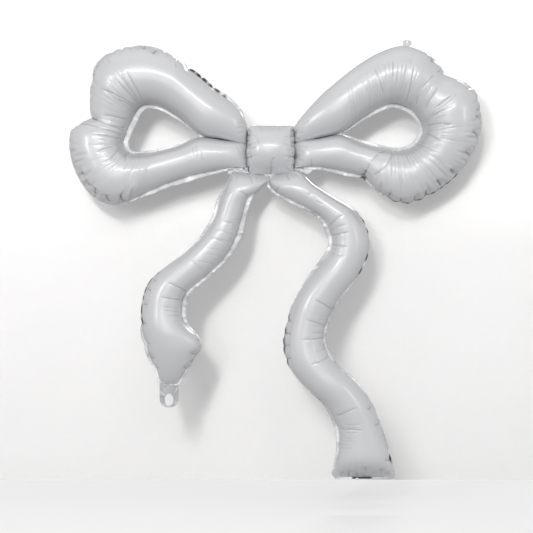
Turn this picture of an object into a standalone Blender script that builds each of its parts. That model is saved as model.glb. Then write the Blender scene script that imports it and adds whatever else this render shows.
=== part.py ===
"""A bow-shaped foil balloon: two looped bows round a square knot, and two wavy tails.

The balloon is two sheets of foil welded face to face. Each chamber has a front and a back
panel, and flat welded film joins them in the seam plane, Y = 0. The front faces -Y, +Z is up,
and the origin is the middle of the knot. The tables are in millimetres, read from the front.
"""

from math import cos, hypot, pi, sin, tanh

import bmesh
import bpy
from mathutils import Vector

MM = 0.001

# The foil envelope stands as a shell, thinner where a chamber is pinched flat at a weld.
WALL = 10.0
WALL_SHARE_OF_DEPTH = 0.55
WALL_SHARE_OF_WIDTH = 0.3
ARC_POINTS = 7
STEPS_PER_ROW = 2

# A tube of foil swells to nearly a circle, and flattens towards the weld at its end.
LOOP_DEPTH_RATIO = 0.88
TAIL_DEPTH_RATIO = 0.9
KNOT_DEPTH_RATIO = 0.78
END_DEPTH = 3.4
LOOP_END_SLOPE = 1.1
KNOT_END_SLOPE = 1.5
TAIL_NECK_SLOPE = 0.9
TAIL_TIP_SLOPE = 1.2

# The welded film, and how far it runs under the panels' rims and into the eyes.
FILM = 1.2
GAP = 0.3
PANEL_Y = FILM / 2 + GAP
SEAM_LAP = 8.0
WELD_LAP = 6.0
EYE_FLANGE = 7.0

# Each bow loop is a ladder of rungs from the knot's top, round the eye, to the knot's side.
# Columns: outer x, outer z, eye-side x, eye-side z, width of seam film outside the panel.
LOOP_START_X = 56.0
LEFT_LOOP = (
    (-56, 51, -56, 20, 2),
    (-65, 84, -72, 23, 2),
    (-85, 108, -107, 29, 2),
    (-129, 141, -153, 36, 2),
    (-177, 180, -197, 70, 2),
    (-226, 217, -237, 94, 2),
    (-287, 233, -265, 102, 2),
    (-346, 222, -283, 100, 2),
    (-386, 187, -294, 90, 2),
    (-396, 139, -302, 75, 2),
    (-397, 95, -311, 57, 2),
    (-399, 74, -316, 44, 2),
    (-421, 62, -320, 33, 2),
    (-441, 33, -324, 20, 2),
    (-440, -15, -322, 9, 2),
    (-419, -66, -314, -1, 2),
    (-380, -108, -302, -6, 2),
    (-327, -117, -285, -5, 3),
    (-270, -95, -256, -2, 7),
    (-204, -72, -206, 11, 8),
    (-144, -50, -157, 26, 8),
    (-94, -37, -98, 20, 7),
    (-67, -36, -69, 15, 6),
    (-56, -38, -56, 13, 6),
)
RIGHT_LOOP = (
    (56, 51, 56, 23, 2),
    (67, 70, 72, 24, 2),
    (94, 103, 109, 30, 2),
    (133, 143, 153, 41, 2),
    (179, 182, 195, 68, 2),
    (234, 216, 232, 92, 2),
    (289, 233, 267, 105, 2),
    (340, 219, 292, 100, 2),
    (369, 191, 309, 91, 2),
    (387, 170, 322, 78, 2),
    (413, 157, 331, 65, 2),
    (450, 132, 334, 55, 2),
    (465, 86, 336, 44, 2),
    (457, 24, 330, 30, 2),
    (424, -37, 318, 14, 2),
    (366, -88, 300, 4, 2),
    (302, -116, 280, 1, 2),
    (250, -100, 258, 4, 3),
    (204, -66, 234, 9, 8),
    (164, -52, 197, 20, 8),
    (120, -38, 155, 32, 8),
    (85, -34, 105, 21, 7),
    (67, -35, 72, 17, 6),
    (56, -38, 56, 16, 6),
)
# Past this distance from the middle the arm weld opens into the eye.
EYE_TIP_X = 172.0
# The seam film under the arms stops above the neck of the tails.
ARM_FILM_LOWEST_Z = -44.6
ARM_FILM_NECK_X = 110.0

# The tails swing on the flat weld at their necks. Columns: x, z of each end of that fold.
LEFT_FOLD = ((-88, -47), (-2, -63))
RIGHT_FOLD = ((2, -63), (58, -53))
FOLD_HALF_GAP = 0.4
FOLD_TO_PANEL = 3.0

# Below the fold, each tail is a ladder of rungs. Columns: left x, left z, right x, right z,
# width of seam film outside the left edge and outside the right edge.
LEFT_TAIL = (
    (-95, -62, -12, -76, 2, 1),
    (-105, -81, -29, -89, 3, 4),
    (-112, -110, -46, -108, 4, 8),
    (-124, -145, -59, -145, 5, 8),
    (-146, -185, -73, -187, 6, 7),
    (-184, -222, -100, -233, 5, 5),
    (-234, -255, -144, -275, 4, 4),
    (-270, -286, -182, -304, 3, 6),
    (-284, -328, -193, -334, 6, 5),
    (-285, -376, -187, -374, 8, 3),
    (-276, -422, -157, -416, 8, 2),
    (-263, -460, -175, -460, 7, 3),
    (-250, -486, -197, -491, 5, 5),
    (-243, -512, -207, -512, 5, 5),
)
RIGHT_TAIL = (
    (0, -79, 72, -67, 1, 2),
    (21, -98, 96, -82, 4, 3),
    (69, -124, 135, -102, 8, 4),
    (111, -152, 184, -131, 8, 3),
    (133, -187, 212, -174, 8, 2),
    (129, -222, 215, -222, 7, 2),
    (94, -268, 186, -279, 5, 3),
    (56, -319, 146, -332, 3, 5),
    (33, -381, 120, -383, 3, 8),
    (26, -431, 121, -425, 3, 8),
    (40, -477, 144, -471, 3, 7),
    (78, -519, 184, -510, 3, 5),
    (122, -558, 221, -554, 5, 3),
    (144, -603, 242, -603, 7, 3),
    (146, -651, 256, -651, 6, 4),
    (141, -693, 265, -693, 5, 5),
    (140, -717, 270, -717, 4, 4),
)

# The knot is one pillow, read from its foot up. Columns: left x, left z, right x, right z.
KNOT = (
    (-41, -51, 44, -51),
    (-47, -43, 49, -43),
    (-50, -26, 52, -26),
    (-50, 1, 52, 1),
    (-50, 29, 52, 29),
    (-48, 46, 51, 46),
    (-45, 54, 47, 54),
)
KNOT_FILM_X = 55.7
KNOT_FILM_FOOT = -52.4
KNOT_FILM_TOP = 57.0
KNOT_FILM_CHAMFER = 9.0
KNOT_HOLE_INSET = 13.0

# The hanging tab stands on the right loop's top, and the inflation tab ends the left tail.
HANG_TAB_X = 300.5
HANG_TAB_WIDTH = 20.0
HANG_TAB_FOOT = 235.4
HANG_TAB_TOP = 243.6
HANG_TAB_CORNER = 6.0
HANG_HOLE_RADIUS = 2.4
HANG_HOLE_Z = 239.5
HANG_LAND_Z = HANG_TAB_FOOT - GAP
INFLATION_TAB_X = -223.0
INFLATION_TAB_WIDTH = 42.0
INFLATION_TAB_TOP = -517.4
INFLATION_TAB_FOOT = -564.0
INFLATION_TAB_CORNER = 19.0
INFLATION_HOLE = (19.0, 27.0)
INFLATION_HOLE_Z = -547.0
ROUND_STEPS = 5
HOLE_STEPS = 16


def clear_scene():
    """Removes whatever the scene holds at the start."""
    for obj in list(bpy.data.objects):
        bpy.data.objects.remove(obj, do_unlink=True)


def make_material(name, color, metallic, roughness):
    """A Principled material."""
    material = bpy.data.materials.new(name)
    material.use_nodes = True
    shader = material.node_tree.nodes["Principled BSDF"]
    shader.inputs["Base Color"].default_value = (*color, 1.0)
    shader.inputs["Metallic"].default_value = metallic
    shader.inputs["Roughness"].default_value = roughness
    return material


def smooth_rows(rows, steps=STEPS_PER_ROW):
    """Rows of a table with Catmull-Rom rows between them, in every column alike."""
    dense = []
    last = len(rows) - 1
    for i in range(last):
        before, here, there, after = rows[max(i - 1, 0)], rows[i], rows[i + 1], rows[min(i + 2, last)]
        for step in range(steps):
            t = step / steps
            dense.append(
                tuple(
                    0.5 * (2 * b + (c - a) * t + (2 * a - 5 * b + 4 * c - d) * t**2 + (3 * b - a - 3 * c + d) * t**3)
                    for a, b, c, d in zip(before, here, there, after)
                )
            )
    dense.append(tuple(rows[last]))
    return dense


def signed_area(points):
    """Positive where the points run counter-clockwise, read from the front."""
    pairs = zip(points, points[1:] + points[:1])
    return sum(ax * bz - bx * az for (ax, az), (bx, bz) in pairs) / 2


def offset(points, widths):
    """An open run of points moved outward, away from what the run goes round, by a width each."""
    turn = 1 if signed_area(points) > 0 else -1
    last = len(points) - 1
    moved = []
    for i, ((x, z), width) in enumerate(zip(points, widths)):
        before, after = points[max(i - 1, 0)], points[min(i + 1, last)]
        dx, dz = after[0] - before[0], after[1] - before[1]
        length = hypot(dx, dz)
        moved.append((x + turn * width * dz / length, z - turn * width * dx / length))
    return moved


def half_depths(rows, ratio, start_slope, end_slope):
    """How far each section swells from the seam plane."""
    middles = [((row[0] + row[2]) / 2, (row[1] + row[3]) / 2) for row in rows]
    along = [0.0]
    for (ax, az), (bx, bz) in zip(middles, middles[1:]):
        along.append(along[-1] + hypot(bx - ax, bz - az))
    depths = []
    for row, run in zip(rows, along):
        most = ratio * hypot(row[2] - row[0], row[3] - row[1]) / 2
        near_start = (END_DEPTH + start_slope * run) / most
        near_end = (END_DEPTH + end_slope * (along[-1] - run)) / most
        depths.append(most * tanh(min(near_start, near_end)))
    return depths


def panel_section(row, depth, side):
    """One section of a panel: out along the outer arc and back along the inner arc."""
    left, right = Vector((row[0], 0, row[1])), Vector((row[2], 0, row[3]))
    middle, half = (left + right) / 2, (left - right) / 2
    width = half.length
    wall = min(WALL, WALL_SHARE_OF_DEPTH * depth, WALL_SHARE_OF_WIDTH * width)
    angles = [pi * i / (ARC_POINTS - 1) for i in range(ARC_POINTS)]
    outer = [
        middle + half * cos(a) + Vector((0, side * (PANEL_Y + (depth - PANEL_Y) * sin(a)), 0))
        for a in angles
    ]
    narrow = (width - wall) / width
    inner = [
        middle + half * narrow * cos(a) + Vector((0, side * (PANEL_Y + (depth - PANEL_Y - wall) * sin(a)), 0))
        for a in reversed(angles)
    ]
    return outer + inner


def finish_mesh(name, bm, material):
    """The object of a closed bmesh, its faces turned out."""
    bmesh.ops.recalc_face_normals(bm, faces=bm.faces)
    mesh = bpy.data.meshes.new(name)
    bm.to_mesh(mesh)
    bm.free()
    mesh.materials.append(material)
    mesh.shade_smooth()
    mesh.set_sharp_from_angle(angle=pi / 4)
    obj = bpy.data.objects.new(name, mesh)
    bpy.context.collection.objects.link(obj)
    return obj


def make_panel(name, rows, depths, side, material):
    """A panel of foil: its sections joined by quads, and a strip of quads across each end."""
    bm = bmesh.new()
    rings = []
    for row, depth in zip(rows, depths):
        rings.append([bm.verts.new(point * MM) for point in panel_section(row, depth, side)])
    count = 2 * ARC_POINTS
    for ring, following in zip(rings, rings[1:]):
        for i in range(count):
            after = (i + 1) % count
            bm.faces.new((ring[i], ring[after], following[after], following[i]))
    for ring in (rings[0], rings[-1]):
        for i in range(ARC_POINTS - 1):
            bm.faces.new((ring[i], ring[i + 1], ring[count - 2 - i], ring[count - 1 - i]))
    return finish_mesh(name, bm, material)


def make_panels(name, rows, depths, material):
    """The front and the back panel of one chamber."""
    front = make_panel(name + "_front", rows, depths, -1, material)
    back = make_panel(name + "_back", rows, depths, 1, material)
    return [front, back]


def make_film(name, outlines, material):
    """Flat film in the seam plane, from an outline and the outlines of its holes."""
    curve = bpy.data.curves.new(name, "CURVE")
    curve.dimensions = "2D"
    curve.fill_mode = "BOTH"
    curve.extrude = FILM / 2 * MM
    curve.materials.append(material)
    for outline in outlines:
        spline = curve.splines.new("POLY")
        spline.points.add(len(outline) - 1)
        for point, (x, z) in zip(spline.points, outline):
            point.co = (x * MM, z * MM, 0, 1)
        spline.use_cyclic_u = True
    obj = bpy.data.objects.new(name, curve)
    obj.rotation_euler = (pi / 2, 0, 0)
    bpy.context.collection.objects.link(obj)
    return obj


def make_loop(name, table, foil, film, highest_z):
    """One bow loop: two panels, the film round its outside, and the film round its eye."""
    rows = smooth_rows(table)
    depths = half_depths(rows, LOOP_DEPTH_RATIO, LOOP_END_SLOPE, LOOP_END_SLOPE)
    pieces = make_panels(name, rows, depths, foil)
    outward = 1 if table[0][0] > 0 else -1

    def trimmed(point):
        x, z = point
        x = outward * max(outward * x, LOOP_START_X)
        if outward * x < ARM_FILM_NECK_X:
            z = max(z, ARM_FILM_LOWEST_Z)
        return x, min(z, highest_z)

    outer = [(row[0], row[1]) for row in rows]
    flanges = [row[4] for row in rows]
    outside = [trimmed(point) for point in offset(outer, flanges)]
    inside = [trimmed(point) for point in offset(outer, [-SEAM_LAP] * len(outer))]
    pieces.append(make_film(name + "_outer_seam", [outside + inside[::-1]], film))

    inner = [(row[2], row[3]) for row in rows]
    laps = [SEAM_LAP if outward * x > EYE_TIP_X else WELD_LAP for x, _ in inner]
    around = [trimmed(point) for point in offset(inner, laps)]
    eye = offset(inner, [-EYE_FLANGE] * len(inner))
    eye = [moved for moved, (x, _) in zip(eye, inner) if outward * x > EYE_TIP_X]
    pieces.append(make_film(name + "_eye_seam", [around, eye], film))
    return pieces


def below_fold(fold, drop):
    """The ends of a tail's fold, moved square to it, down the tail."""
    (ax, az), (bx, bz) = fold
    length = hypot(bx - ax, bz - az)
    across = ((bz - az) / length, (ax - bx) / length)
    return [(x + drop * across[0], z + drop * across[1]) for x, z in fold]


def make_tail(name, fold, table, foil, film):
    """One tail below its fold: two panels and the ring of film round them."""
    neck = below_fold(fold, FOLD_TO_PANEL)
    first = (*neck[0], *neck[1], 0, 0)
    rows = smooth_rows((first,) + table)
    depths = half_depths(rows, TAIL_DEPTH_RATIO, TAIL_NECK_SLOPE, TAIL_TIP_SLOPE)
    pieces = make_panels(name, rows, depths, foil)
    edge = [(row[0], row[1]) for row in rows] + [(row[2], row[3]) for row in rows[::-1]]
    flanges = [row[4] for row in rows] + [row[5] for row in rows[::-1]]
    top = below_fold(fold, FOLD_HALF_GAP)
    outside = [top[0]] + offset(edge, flanges)[1:-1] + [top[1]]
    inside = offset(edge, [-SEAM_LAP] * len(edge))
    low = below_fold(fold, FOLD_TO_PANEL + SEAM_LAP)
    inside = [point for point in inside[2:-2] if point[1] < min(low[0][1], low[1][1])]
    pieces.append(make_film(name + "_seam", [outside, inside], film))
    return pieces


def chamfered(left, right, foot, top, cut):
    """A box outline with its corners cut."""
    return [
        (left + cut, foot), (right - cut, foot), (right, foot + cut), (right, top - cut),
        (right - cut, top), (left + cut, top), (left, top - cut), (left, foot + cut),
    ]


def make_knot(foil, film):
    """The knot's pillow, the film round it, and the web from which the tails hang."""
    rows = smooth_rows(KNOT)
    depths = half_depths(rows, KNOT_DEPTH_RATIO, KNOT_END_SLOPE, KNOT_END_SLOPE)
    pieces = make_panels("knot", rows, depths, foil)
    ring = chamfered(-KNOT_FILM_X, KNOT_FILM_X, KNOT_FILM_FOOT, KNOT_FILM_TOP, KNOT_FILM_CHAMFER)
    inset = KNOT_HOLE_INSET
    hole = chamfered(
        inset - KNOT_FILM_X, KNOT_FILM_X - inset, KNOT_FILM_FOOT + inset, KNOT_FILM_TOP - inset, KNOT_FILM_CHAMFER
    )
    pieces.append(make_film("knot_seam", [ring, hole], film))
    under = KNOT_FILM_FOOT - GAP
    corner = KNOT_FILM_X - KNOT_FILM_CHAMFER + GAP
    arm = ARM_FILM_LOWEST_Z - GAP
    left_end, left_crotch = [(x, z + FOLD_HALF_GAP) for x, z in LEFT_FOLD]
    right_crotch, right_end = [(x, z + FOLD_HALF_GAP) for x, z in RIGHT_FOLD]
    web = [
        left_end, left_crotch, right_crotch, right_end, (right_end[0], arm), (KNOT_FILM_X + GAP, arm),
        (corner, under), (-corner, under), (-KNOT_FILM_X - GAP, arm), (left_end[0], arm),
    ]
    pieces.append(make_film("neck_web", [web], film))
    return pieces


def arc(x, z, radius_x, radius_z, start, end, steps):
    """Points along an elliptic arc, angles in half turns."""
    angles = [pi * (start + (end - start) * i / steps) for i in range(steps + 1)]
    return [(x + radius_x * cos(a), z + radius_z * sin(a)) for a in angles]


def make_hanging_tab(film):
    """The punched tab on the right loop's top edge."""
    half, corner = HANG_TAB_WIDTH / 2, HANG_TAB_CORNER
    high = HANG_TAB_TOP - corner
    outline = [(HANG_TAB_X - half, HANG_TAB_FOOT), (HANG_TAB_X + half, HANG_TAB_FOOT)]
    outline += arc(HANG_TAB_X + half - corner, high, corner, corner, 0, 0.5, ROUND_STEPS)
    outline += arc(HANG_TAB_X - half + corner, high, corner, corner, 0.5, 1, ROUND_STEPS)
    hole = arc(HANG_TAB_X, HANG_HOLE_Z, HANG_HOLE_RADIUS, HANG_HOLE_RADIUS, 0, 2, HOLE_STEPS)[:-1]
    return [make_film("hanging_tab", [outline, hole], film)]


def make_inflation_tab(film):
    """The filling tab at the left tail's tip, with its oblong hole."""
    half, corner = INFLATION_TAB_WIDTH / 2, INFLATION_TAB_CORNER
    low = INFLATION_TAB_FOOT + corner
    outline = [(INFLATION_TAB_X + half, INFLATION_TAB_TOP), (INFLATION_TAB_X - half, INFLATION_TAB_TOP)]
    outline += arc(INFLATION_TAB_X - half + corner, low, corner, corner, 1, 1.5, ROUND_STEPS)
    outline += arc(INFLATION_TAB_X + half - corner, low, corner, corner, 1.5, 2, ROUND_STEPS)
    width, height = INFLATION_HOLE
    hole = arc(INFLATION_TAB_X, INFLATION_HOLE_Z, width / 2, height / 2, 0, 2, HOLE_STEPS)[:-1]
    return [make_film("inflation_tab", [outline, hole], film)]


def hang_on_fold(name, fold, pieces):
    """Parents a tail's pieces to an empty on the fold's middle, its X along the fold."""
    (ax, az), (bx, bz) = fold
    empty = bpy.data.objects.new(name, None)
    empty.location = ((ax + bx) / 2 * MM, 0, (az + bz) / 2 * MM)
    bpy.context.collection.objects.link(empty)
    bpy.context.view_layer.update()
    for piece in pieces:
        piece.parent = empty
        piece.matrix_parent_inverse = empty.matrix_world.inverted()


def main():
    """Builds the balloon."""
    clear_scene()
    foil = make_material("satin_grey_foil", (0.52, 0.53, 0.55), 0.55, 0.32)
    film = make_material("clear_silver_film", (0.72, 0.73, 0.75), 0.5, 0.2)
    tab_film = make_material("clear_tab_film", (0.66, 0.68, 0.7), 0.1, 0.2)
    make_loop("left_loop", LEFT_LOOP, foil, film, HANG_TAB_TOP)
    make_loop("right_loop", RIGHT_LOOP, foil, film, HANG_LAND_Z)
    make_knot(foil, film)
    make_hanging_tab(tab_film)
    left_tail = make_tail("left_tail", LEFT_FOLD, LEFT_TAIL, foil, film)
    left_tail += make_inflation_tab(tab_film)
    right_tail = make_tail("right_tail", RIGHT_FOLD, RIGHT_TAIL, foil, film)
    hang_on_fold("left_tail_fold", LEFT_FOLD, left_tail)
    hang_on_fold("right_tail_fold", RIGHT_FOLD, right_tail)


main()
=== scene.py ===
"""The looks of a foil balloon shaped as a ribbon bow: two loops, a square knot and two wavy tails.

Every chamber is a tube of satin foil. It starts as a loft over a ladder of rungs, its foil then settles
as thin sheet under gas pressure does, and the folds that the real one shows are pressed in last. Welded
film follows the settled seams. Tables are in millimetres, read from the front, and meshes in metres.
"""

from __future__ import annotations

import logging
from dataclasses import dataclass, field
from enum import Enum
from math import pi, radians

import bpy
import numpy as np
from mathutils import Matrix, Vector


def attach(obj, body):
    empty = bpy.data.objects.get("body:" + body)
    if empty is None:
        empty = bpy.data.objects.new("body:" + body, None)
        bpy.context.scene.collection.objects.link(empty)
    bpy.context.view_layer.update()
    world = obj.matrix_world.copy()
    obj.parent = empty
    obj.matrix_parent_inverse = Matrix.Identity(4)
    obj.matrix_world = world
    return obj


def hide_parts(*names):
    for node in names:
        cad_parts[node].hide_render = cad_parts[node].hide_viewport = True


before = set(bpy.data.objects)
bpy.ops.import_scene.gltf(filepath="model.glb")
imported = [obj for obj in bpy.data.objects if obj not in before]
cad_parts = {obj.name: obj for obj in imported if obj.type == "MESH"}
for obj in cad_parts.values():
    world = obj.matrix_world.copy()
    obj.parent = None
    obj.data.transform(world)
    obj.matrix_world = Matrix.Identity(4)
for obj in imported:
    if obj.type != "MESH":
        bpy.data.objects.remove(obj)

LOG = logging.getLogger("bow_balloon")
MM = 0.001

# In millimetres: how close two points are that become one, and the wall of flat film.
MERGE = 0.02
FILM_WALL = 0.5
# Keeps a length from being zero where something is divided by it.
TINY = 1e-6

Rows = tuple[tuple[float, ...], ...]
Point = tuple[float, float]
Place = tuple[float, float, float]
Color = tuple[float, ...]

# Each loop is a ladder of rungs from the knot's top, round the eye, to the knot's side.
# Columns: outer x, outer z, eye-side x, eye-side z, film outside the outer edge, film inside the eye.
LEFT_LOOP: Rows = (
    (-51, 49, -51, 16, 3, 3),
    (-62, 80, -72, 19.5, 5, 3),
    (-83, 104, -107, 26, 6.5, 3),
    (-126, 136, -153, 35, 6.5, 3),
    (-177, 179, -197, 70, 5, 6),
    (-226, 217, -237, 94, 2, 8),
    (-287, 233, -265, 102, 2, 9),
    (-346, 222, -283, 100, 2, 11),
    (-386, 187, -294, 90, 2, 13),
    (-396, 139, -302, 75, 2, 13),
    (-397, 95, -311, 57, 2, 12),
    (-399, 73, -316, 44, 2, 11),
    (-419, 58, -320, 33, 2, 12),
    (-440, 38, -324, 20, 2, 13),
    (-440, -10, -322, 9, 2, 12),
    (-419, -66, -314, -1, 2, 8),
    (-380, -108, -302, -6, 2, 6),
    (-329, -116, -285, -5, 2, 5),
    (-272, -90, -256, -2, 10, 5),
    (-206, -63, -206, 11, 13, 4),
    (-146, -46.5, -157, 31, 12, 3),
    (-94, -37, -98, 22.5, 7, 3),
    (-67, -36, -69, 17.5, 6, 3),
    (-51, -38, -51, 14.5, 6, 3),
)
RIGHT_LOOP: Rows = (
    (51, 49, 51, 19, 2, 3),
    (66, 69, 72, 22, 2, 3),
    (94, 103, 109, 29, 2, 3),
    (133, 143, 153, 40, 2, 4),
    (179, 182, 195, 68, 2, 8),
    (234, 216, 232, 92, 2, 9),
    (289, 233, 267, 105, 2, 10),
    (340, 219, 292, 100, 2, 10),
    (369, 191, 309, 91, 2, 10),
    (387, 170, 322, 78, 2, 10),
    (413, 157, 331, 65, 2, 10),
    (450, 132, 334, 55, 2, 10),
    (465, 86, 336, 44, 2, 9),
    (457, 24, 330, 30, 2, 9),
    (424, -37, 318, 14, 2, 8),
    (366, -88, 300, 4, 2, 7),
    (302, -116, 280, 1, 2, 6),
    (248, -98, 258, 4, 3, 6),
    (206, -58, 234, 9, 7, 6),
    (166, -45.5, 197, 20, 9, 5),
    (122, -35.5, 155, 36, 8, 3),
    (86, -34, 105, 26.5, 6, 3),
    (67, -35, 72, 20.5, 5, 3),
    (51, -38, 51, 17.5, 5, 3),
)
# Nearer the middle than this, the film between a loop's arms is their weld.
EYE_TIP_X = 157.0

# A tail's ladder runs from its neck to its tip. Columns: left x, left z, right x, right z,
# film outside the left edge and outside the right edge.
LEFT_TAIL: Rows = (
    (-82, -44, -3, -55, 1, 1),
    (-90, -58, -8, -69, 2, 1),
    (-102, -84, -31, -87, 4, 5),
    (-112, -109, -52, -105, 6, 11),
    (-121, -143, -64, -144, 8, 12),
    (-145, -184, -76, -187, 6, 12),
    (-184, -222, -101, -233, 3, 10),
    (-232, -256, -144, -275, 2, 10),
    (-266, -288, -182, -306, 3, 12),
    (-281, -328, -195, -334, 3, 12),
    (-283, -376, -191, -377, 4, 9),
    (-275, -420, -152, -422, 7, 3),
    (-262, -459, -171, -460, 6, 3),
    (-249, -486, -193, -492, 4, 6),
    (-243, -512, -205, -512, 4, 4),
)
RIGHT_TAIL: Rows = (
    (1, -55, 58, -41, 2, 1),
    (-3, -71, 75, -57, 8, 1),
    (15, -91, 96, -76, 9, 2),
    (63, -116, 138, -102, 11, 2),
    (108, -139, 186, -130, 12, 2),
    (134, -180, 213, -173, 11, 2),
    (131, -221, 215, -222, 9, 3),
    (95, -268, 188, -279, 6, 4),
    (56, -320, 145, -332, 3, 5),
    (35, -381, 119, -383, 3, 8),
    (29, -431, 116, -427, 3, 9),
    (42, -477, 142, -471, 3, 7),
    (79, -520, 187, -509, 4, 5),
    (123, -558, 222, -554, 6, 3),
    (148, -606, 243, -603, 8, 3),
    (152, -651, 256, -651, 7, 4),
    (144, -692, 265, -690, 5, 4),
    (138, -709, 271, -712, 4, 3),
    (142, -717, 269, -717, 3, 3),
)

# The knot's ladder runs from its foot up. Columns as for a tail.
KNOT: Rows = (
    (-41, -52, 44, -52, 3, 3),
    (-48, -43, 50, -43, 3, 3),
    (-53, -26, 54, -26, 3, 3),
    (-54, 1, 54, 1, 3, 3),
    (-53, 29, 54, 29, 3, 3),
    (-50, 46, 52, 46, 3, 3),
    (-46, 55, 48, 55, 3, 3),
)

# Folds in the foil. Columns: x, z of the end at the seam, x, z of the other end.
LEFT_LOOP_NICKS: Rows = (
    (-307, 238, -308, 220), (-250, 220, -258, 208), (-180, 182, -188, 173), (-375, 200, -369, 194),
    (-382, 187, -374, 183), (-395, 156, -388, 155), (-386, -97, -381, -83), (-355, -112, -360, -96),
    (-321, -112, -328, -94), (-402, -79, -395, -73), (-415, -55, -408, -51), (-398, 75, -372, 62),
    (-349, 222, -345, 207), (-392, 169, -380, 165), (-330, 232, -328, 220), (-275, 230, -278, 219),
)
LEFT_LOOP_CREASES: Rows = (
    (-281, 114, -316, 174), (-292, 105, -340, 156), (-289, 110, -327, 163), (-296, 97, -375, 132),
    (-311, 67, -367, 75), (-398, 75, -349, 51), (-326, 33, -417, 59), (-329, 23, -393, 33),
    (-345, 4, -384, -11), (-331, -2, -351, -29), (-316, -8, -316, -33), (-300, 95, -336, 112),
    (-349, 51, -316, 50), (-322, 44, -366, 57),
)
LEFT_LOOP_MARKS: Rows = (
    (-164, 12, -160, -22), (-153, 4, -148, -26), (-172, 6, -169, -12), (-80, 2, -74, -30),
    (-78, 14, -64, -6), (-70, 60, -56, 56), (-74, 48, -58, 50), (-72, 38, -56, 40),
)
RIGHT_LOOP_NICKS: Rows = (
    (387, 170, 372, 174), (429, 147, 421, 145), (461, 110, 448, 110), (465, 88, 446, 87),
    (463, 70, 443, 73), (457, 29, 437, 41), (443, -15, 419, -3), (404, -54, 393, -42), (375, -79, 364, -66),
    (344, -103, 339, -88), (316, -114, 315, -100), (287, -118, 285, -104), (256, -104, 262, -93),
    (357, 203, 350, 189), (201, -66, 212, -44),
)
RIGHT_LOOP_CREASES: Rows = (
    (203, -62, 221, -26), (221, -26, 239, -7), (239, -7, 265, 1), (229, -55, 270, -7), (227, 172, 246, 119),
    (265, 191, 266, 150), (311, 178, 296, 103), (320, 118, 318, 97), (374, 175, 360, 167),
    (353, 160, 327, 130), (364, 134, 335, 86), (391, 115, 353, 84), (386, 88, 344, 68), (393, 51, 373, 55),
    (373, 55, 342, 51), (342, 33, 373, 13), (90, -18, 91, -33), (56, 29, 65, 26),
)
RIGHT_LOOP_MARKS: Rows = (
    (194, 150, 207, 121), (201, 155, 213, 120), (208, 158, 220, 121), (215, 162, 227, 122),
    (221, 166, 232, 126), (236, 176, 248, 132), (246, 184, 255, 136), (256, 188, 261, 140),
    (276, 190, 275, 140), (286, 188, 283, 146), (296, 186, 290, 142), (72, 40, 58, 36), (70, -2, 57, 2),
    (74, -24, 60, -18), (84, 62, 66, 52), (82, 6, 58, 12),
)
KNOT_NICKS: Rows = (
    (-55, 35, -41, 33), (-54, 10, -40, 13), (-53, -18, -38, -14), (53, 33, 40, 31), (53, 9, 42, 10),
    (54, -15, 36, -15), (1, -53, 1, -36), (-53, -38, -44, -34), (53, 46, 44, 42), (55, 18, 44, 17),
    (53, -33, 44, -31), (-54, 22, -46, 21),
)
KNOT_CREASES: Rows = ((1, -40, 2, -24), (2, -24, 9, -17), (44, -48, 30, -35))
KNOT_MARKS: Rows = (
    (-41, 33, -28, 31), (-42, 12, -24, 20), (-40, -14, -26, -12), (40, 31, 28, 29), (42, 10, 24, 14),
    (38, -15, 22, -15), (-41, -48, -30, -36), (50, 48, 40, 38), (-48, 48, -40, 40), (20, 54, 18, 42),
    (-22, 54, -20, 43), (2, 55, 1, 44), (-44, 4, -30, 6), (44, -2, 30, 0), (44, -26, 32, -24),
    (-30, 26, -24, 12),
)
LEFT_TAIL_NICKS: Rows = (
    (-103, -86, -96, -89), (-259, -281, -252, -286), (-273, -303, -263, -307), (-281, -336, -270, -337),
    (-284, -379, -272, -380), (-274, -424, -263, -421), (-263, -456, -252, -451), (-252, -480, -244, -473),
    (-151, -423, -166, -414), (-163, -446, -176, -442), (-184, -480, -192, -470), (-243, -505, -232, -503),
)
LEFT_TAIL_CREASES: Rows = (
    (-50, -104, -72, -86), (-4, -58, -15, -78), (-46, -55, -41, -74), (-186, -307, -230, -285),
    (-191, -328, -247, -319), (-152, -420, -160, -428),
)
LEFT_TAIL_MARKS: Rows = (
    (-74, -165, -108, -155), (-84, -186, -122, -172), (-97, -205, -138, -186), (-150, -262, -176, -238),
    (-204, -345, -240, -342), (-204, -353, -236, -350), (-204, -362, -228, -361), (-165, -440, -184, -441),
    (-70, -50, -76, -66), (-30, -56, -33, -68), (-14, -60, -26, -68), (-88, -62, -74, -70),
    (-100, -96, -84, -90),
)
RIGHT_TAIL_NICKS: Rows = (
    (36, -372, 46, -375), (31, -400, 43, -401), (29, -428, 41, -427), (33, -459, 44, -455),
    (222, -560, 212, -565), (240, -598, 229, -600), (262, -680, 248, -678), (206, -714, 208, -688),
    (172, -714, 175, -698), (246, -714, 241, -694), (154, -714, 158, -704), (190, -714, 190, -704),
    (226, -714, 224, -700), (260, -714, 256, -706),
)
RIGHT_TAIL_CREASES: Rows = (
    (134, -162, 161, -139), (137, -187, 180, -178), (136, -204, 176, -212), (131, -347, 92, -323),
    (118, -385, 70, -368), (116, -410, 60, -414), (124, -446, 80, -471), (147, -578, 192, -556),
    (155, -606, 206, -608), (34, -50, 40, -68), (14, -90, 17, -78), (101, -111, 116, -119),
)
RIGHT_TAIL_MARKS: Rows = (
    (118, -388, 84, -382), (117, -401, 82, -399), (166, -598, 200, -596), (166, -616, 196, -613),
    (168, -604, 192, -602), (120, -432, 88, -442), (134, -226, 168, -234), (137, -172, 172, -160),
    (20, -54, 26, -68), (12, -76, 30, -80), (56, -44, 62, -54), (84, -100, 92, -88),
)

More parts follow.
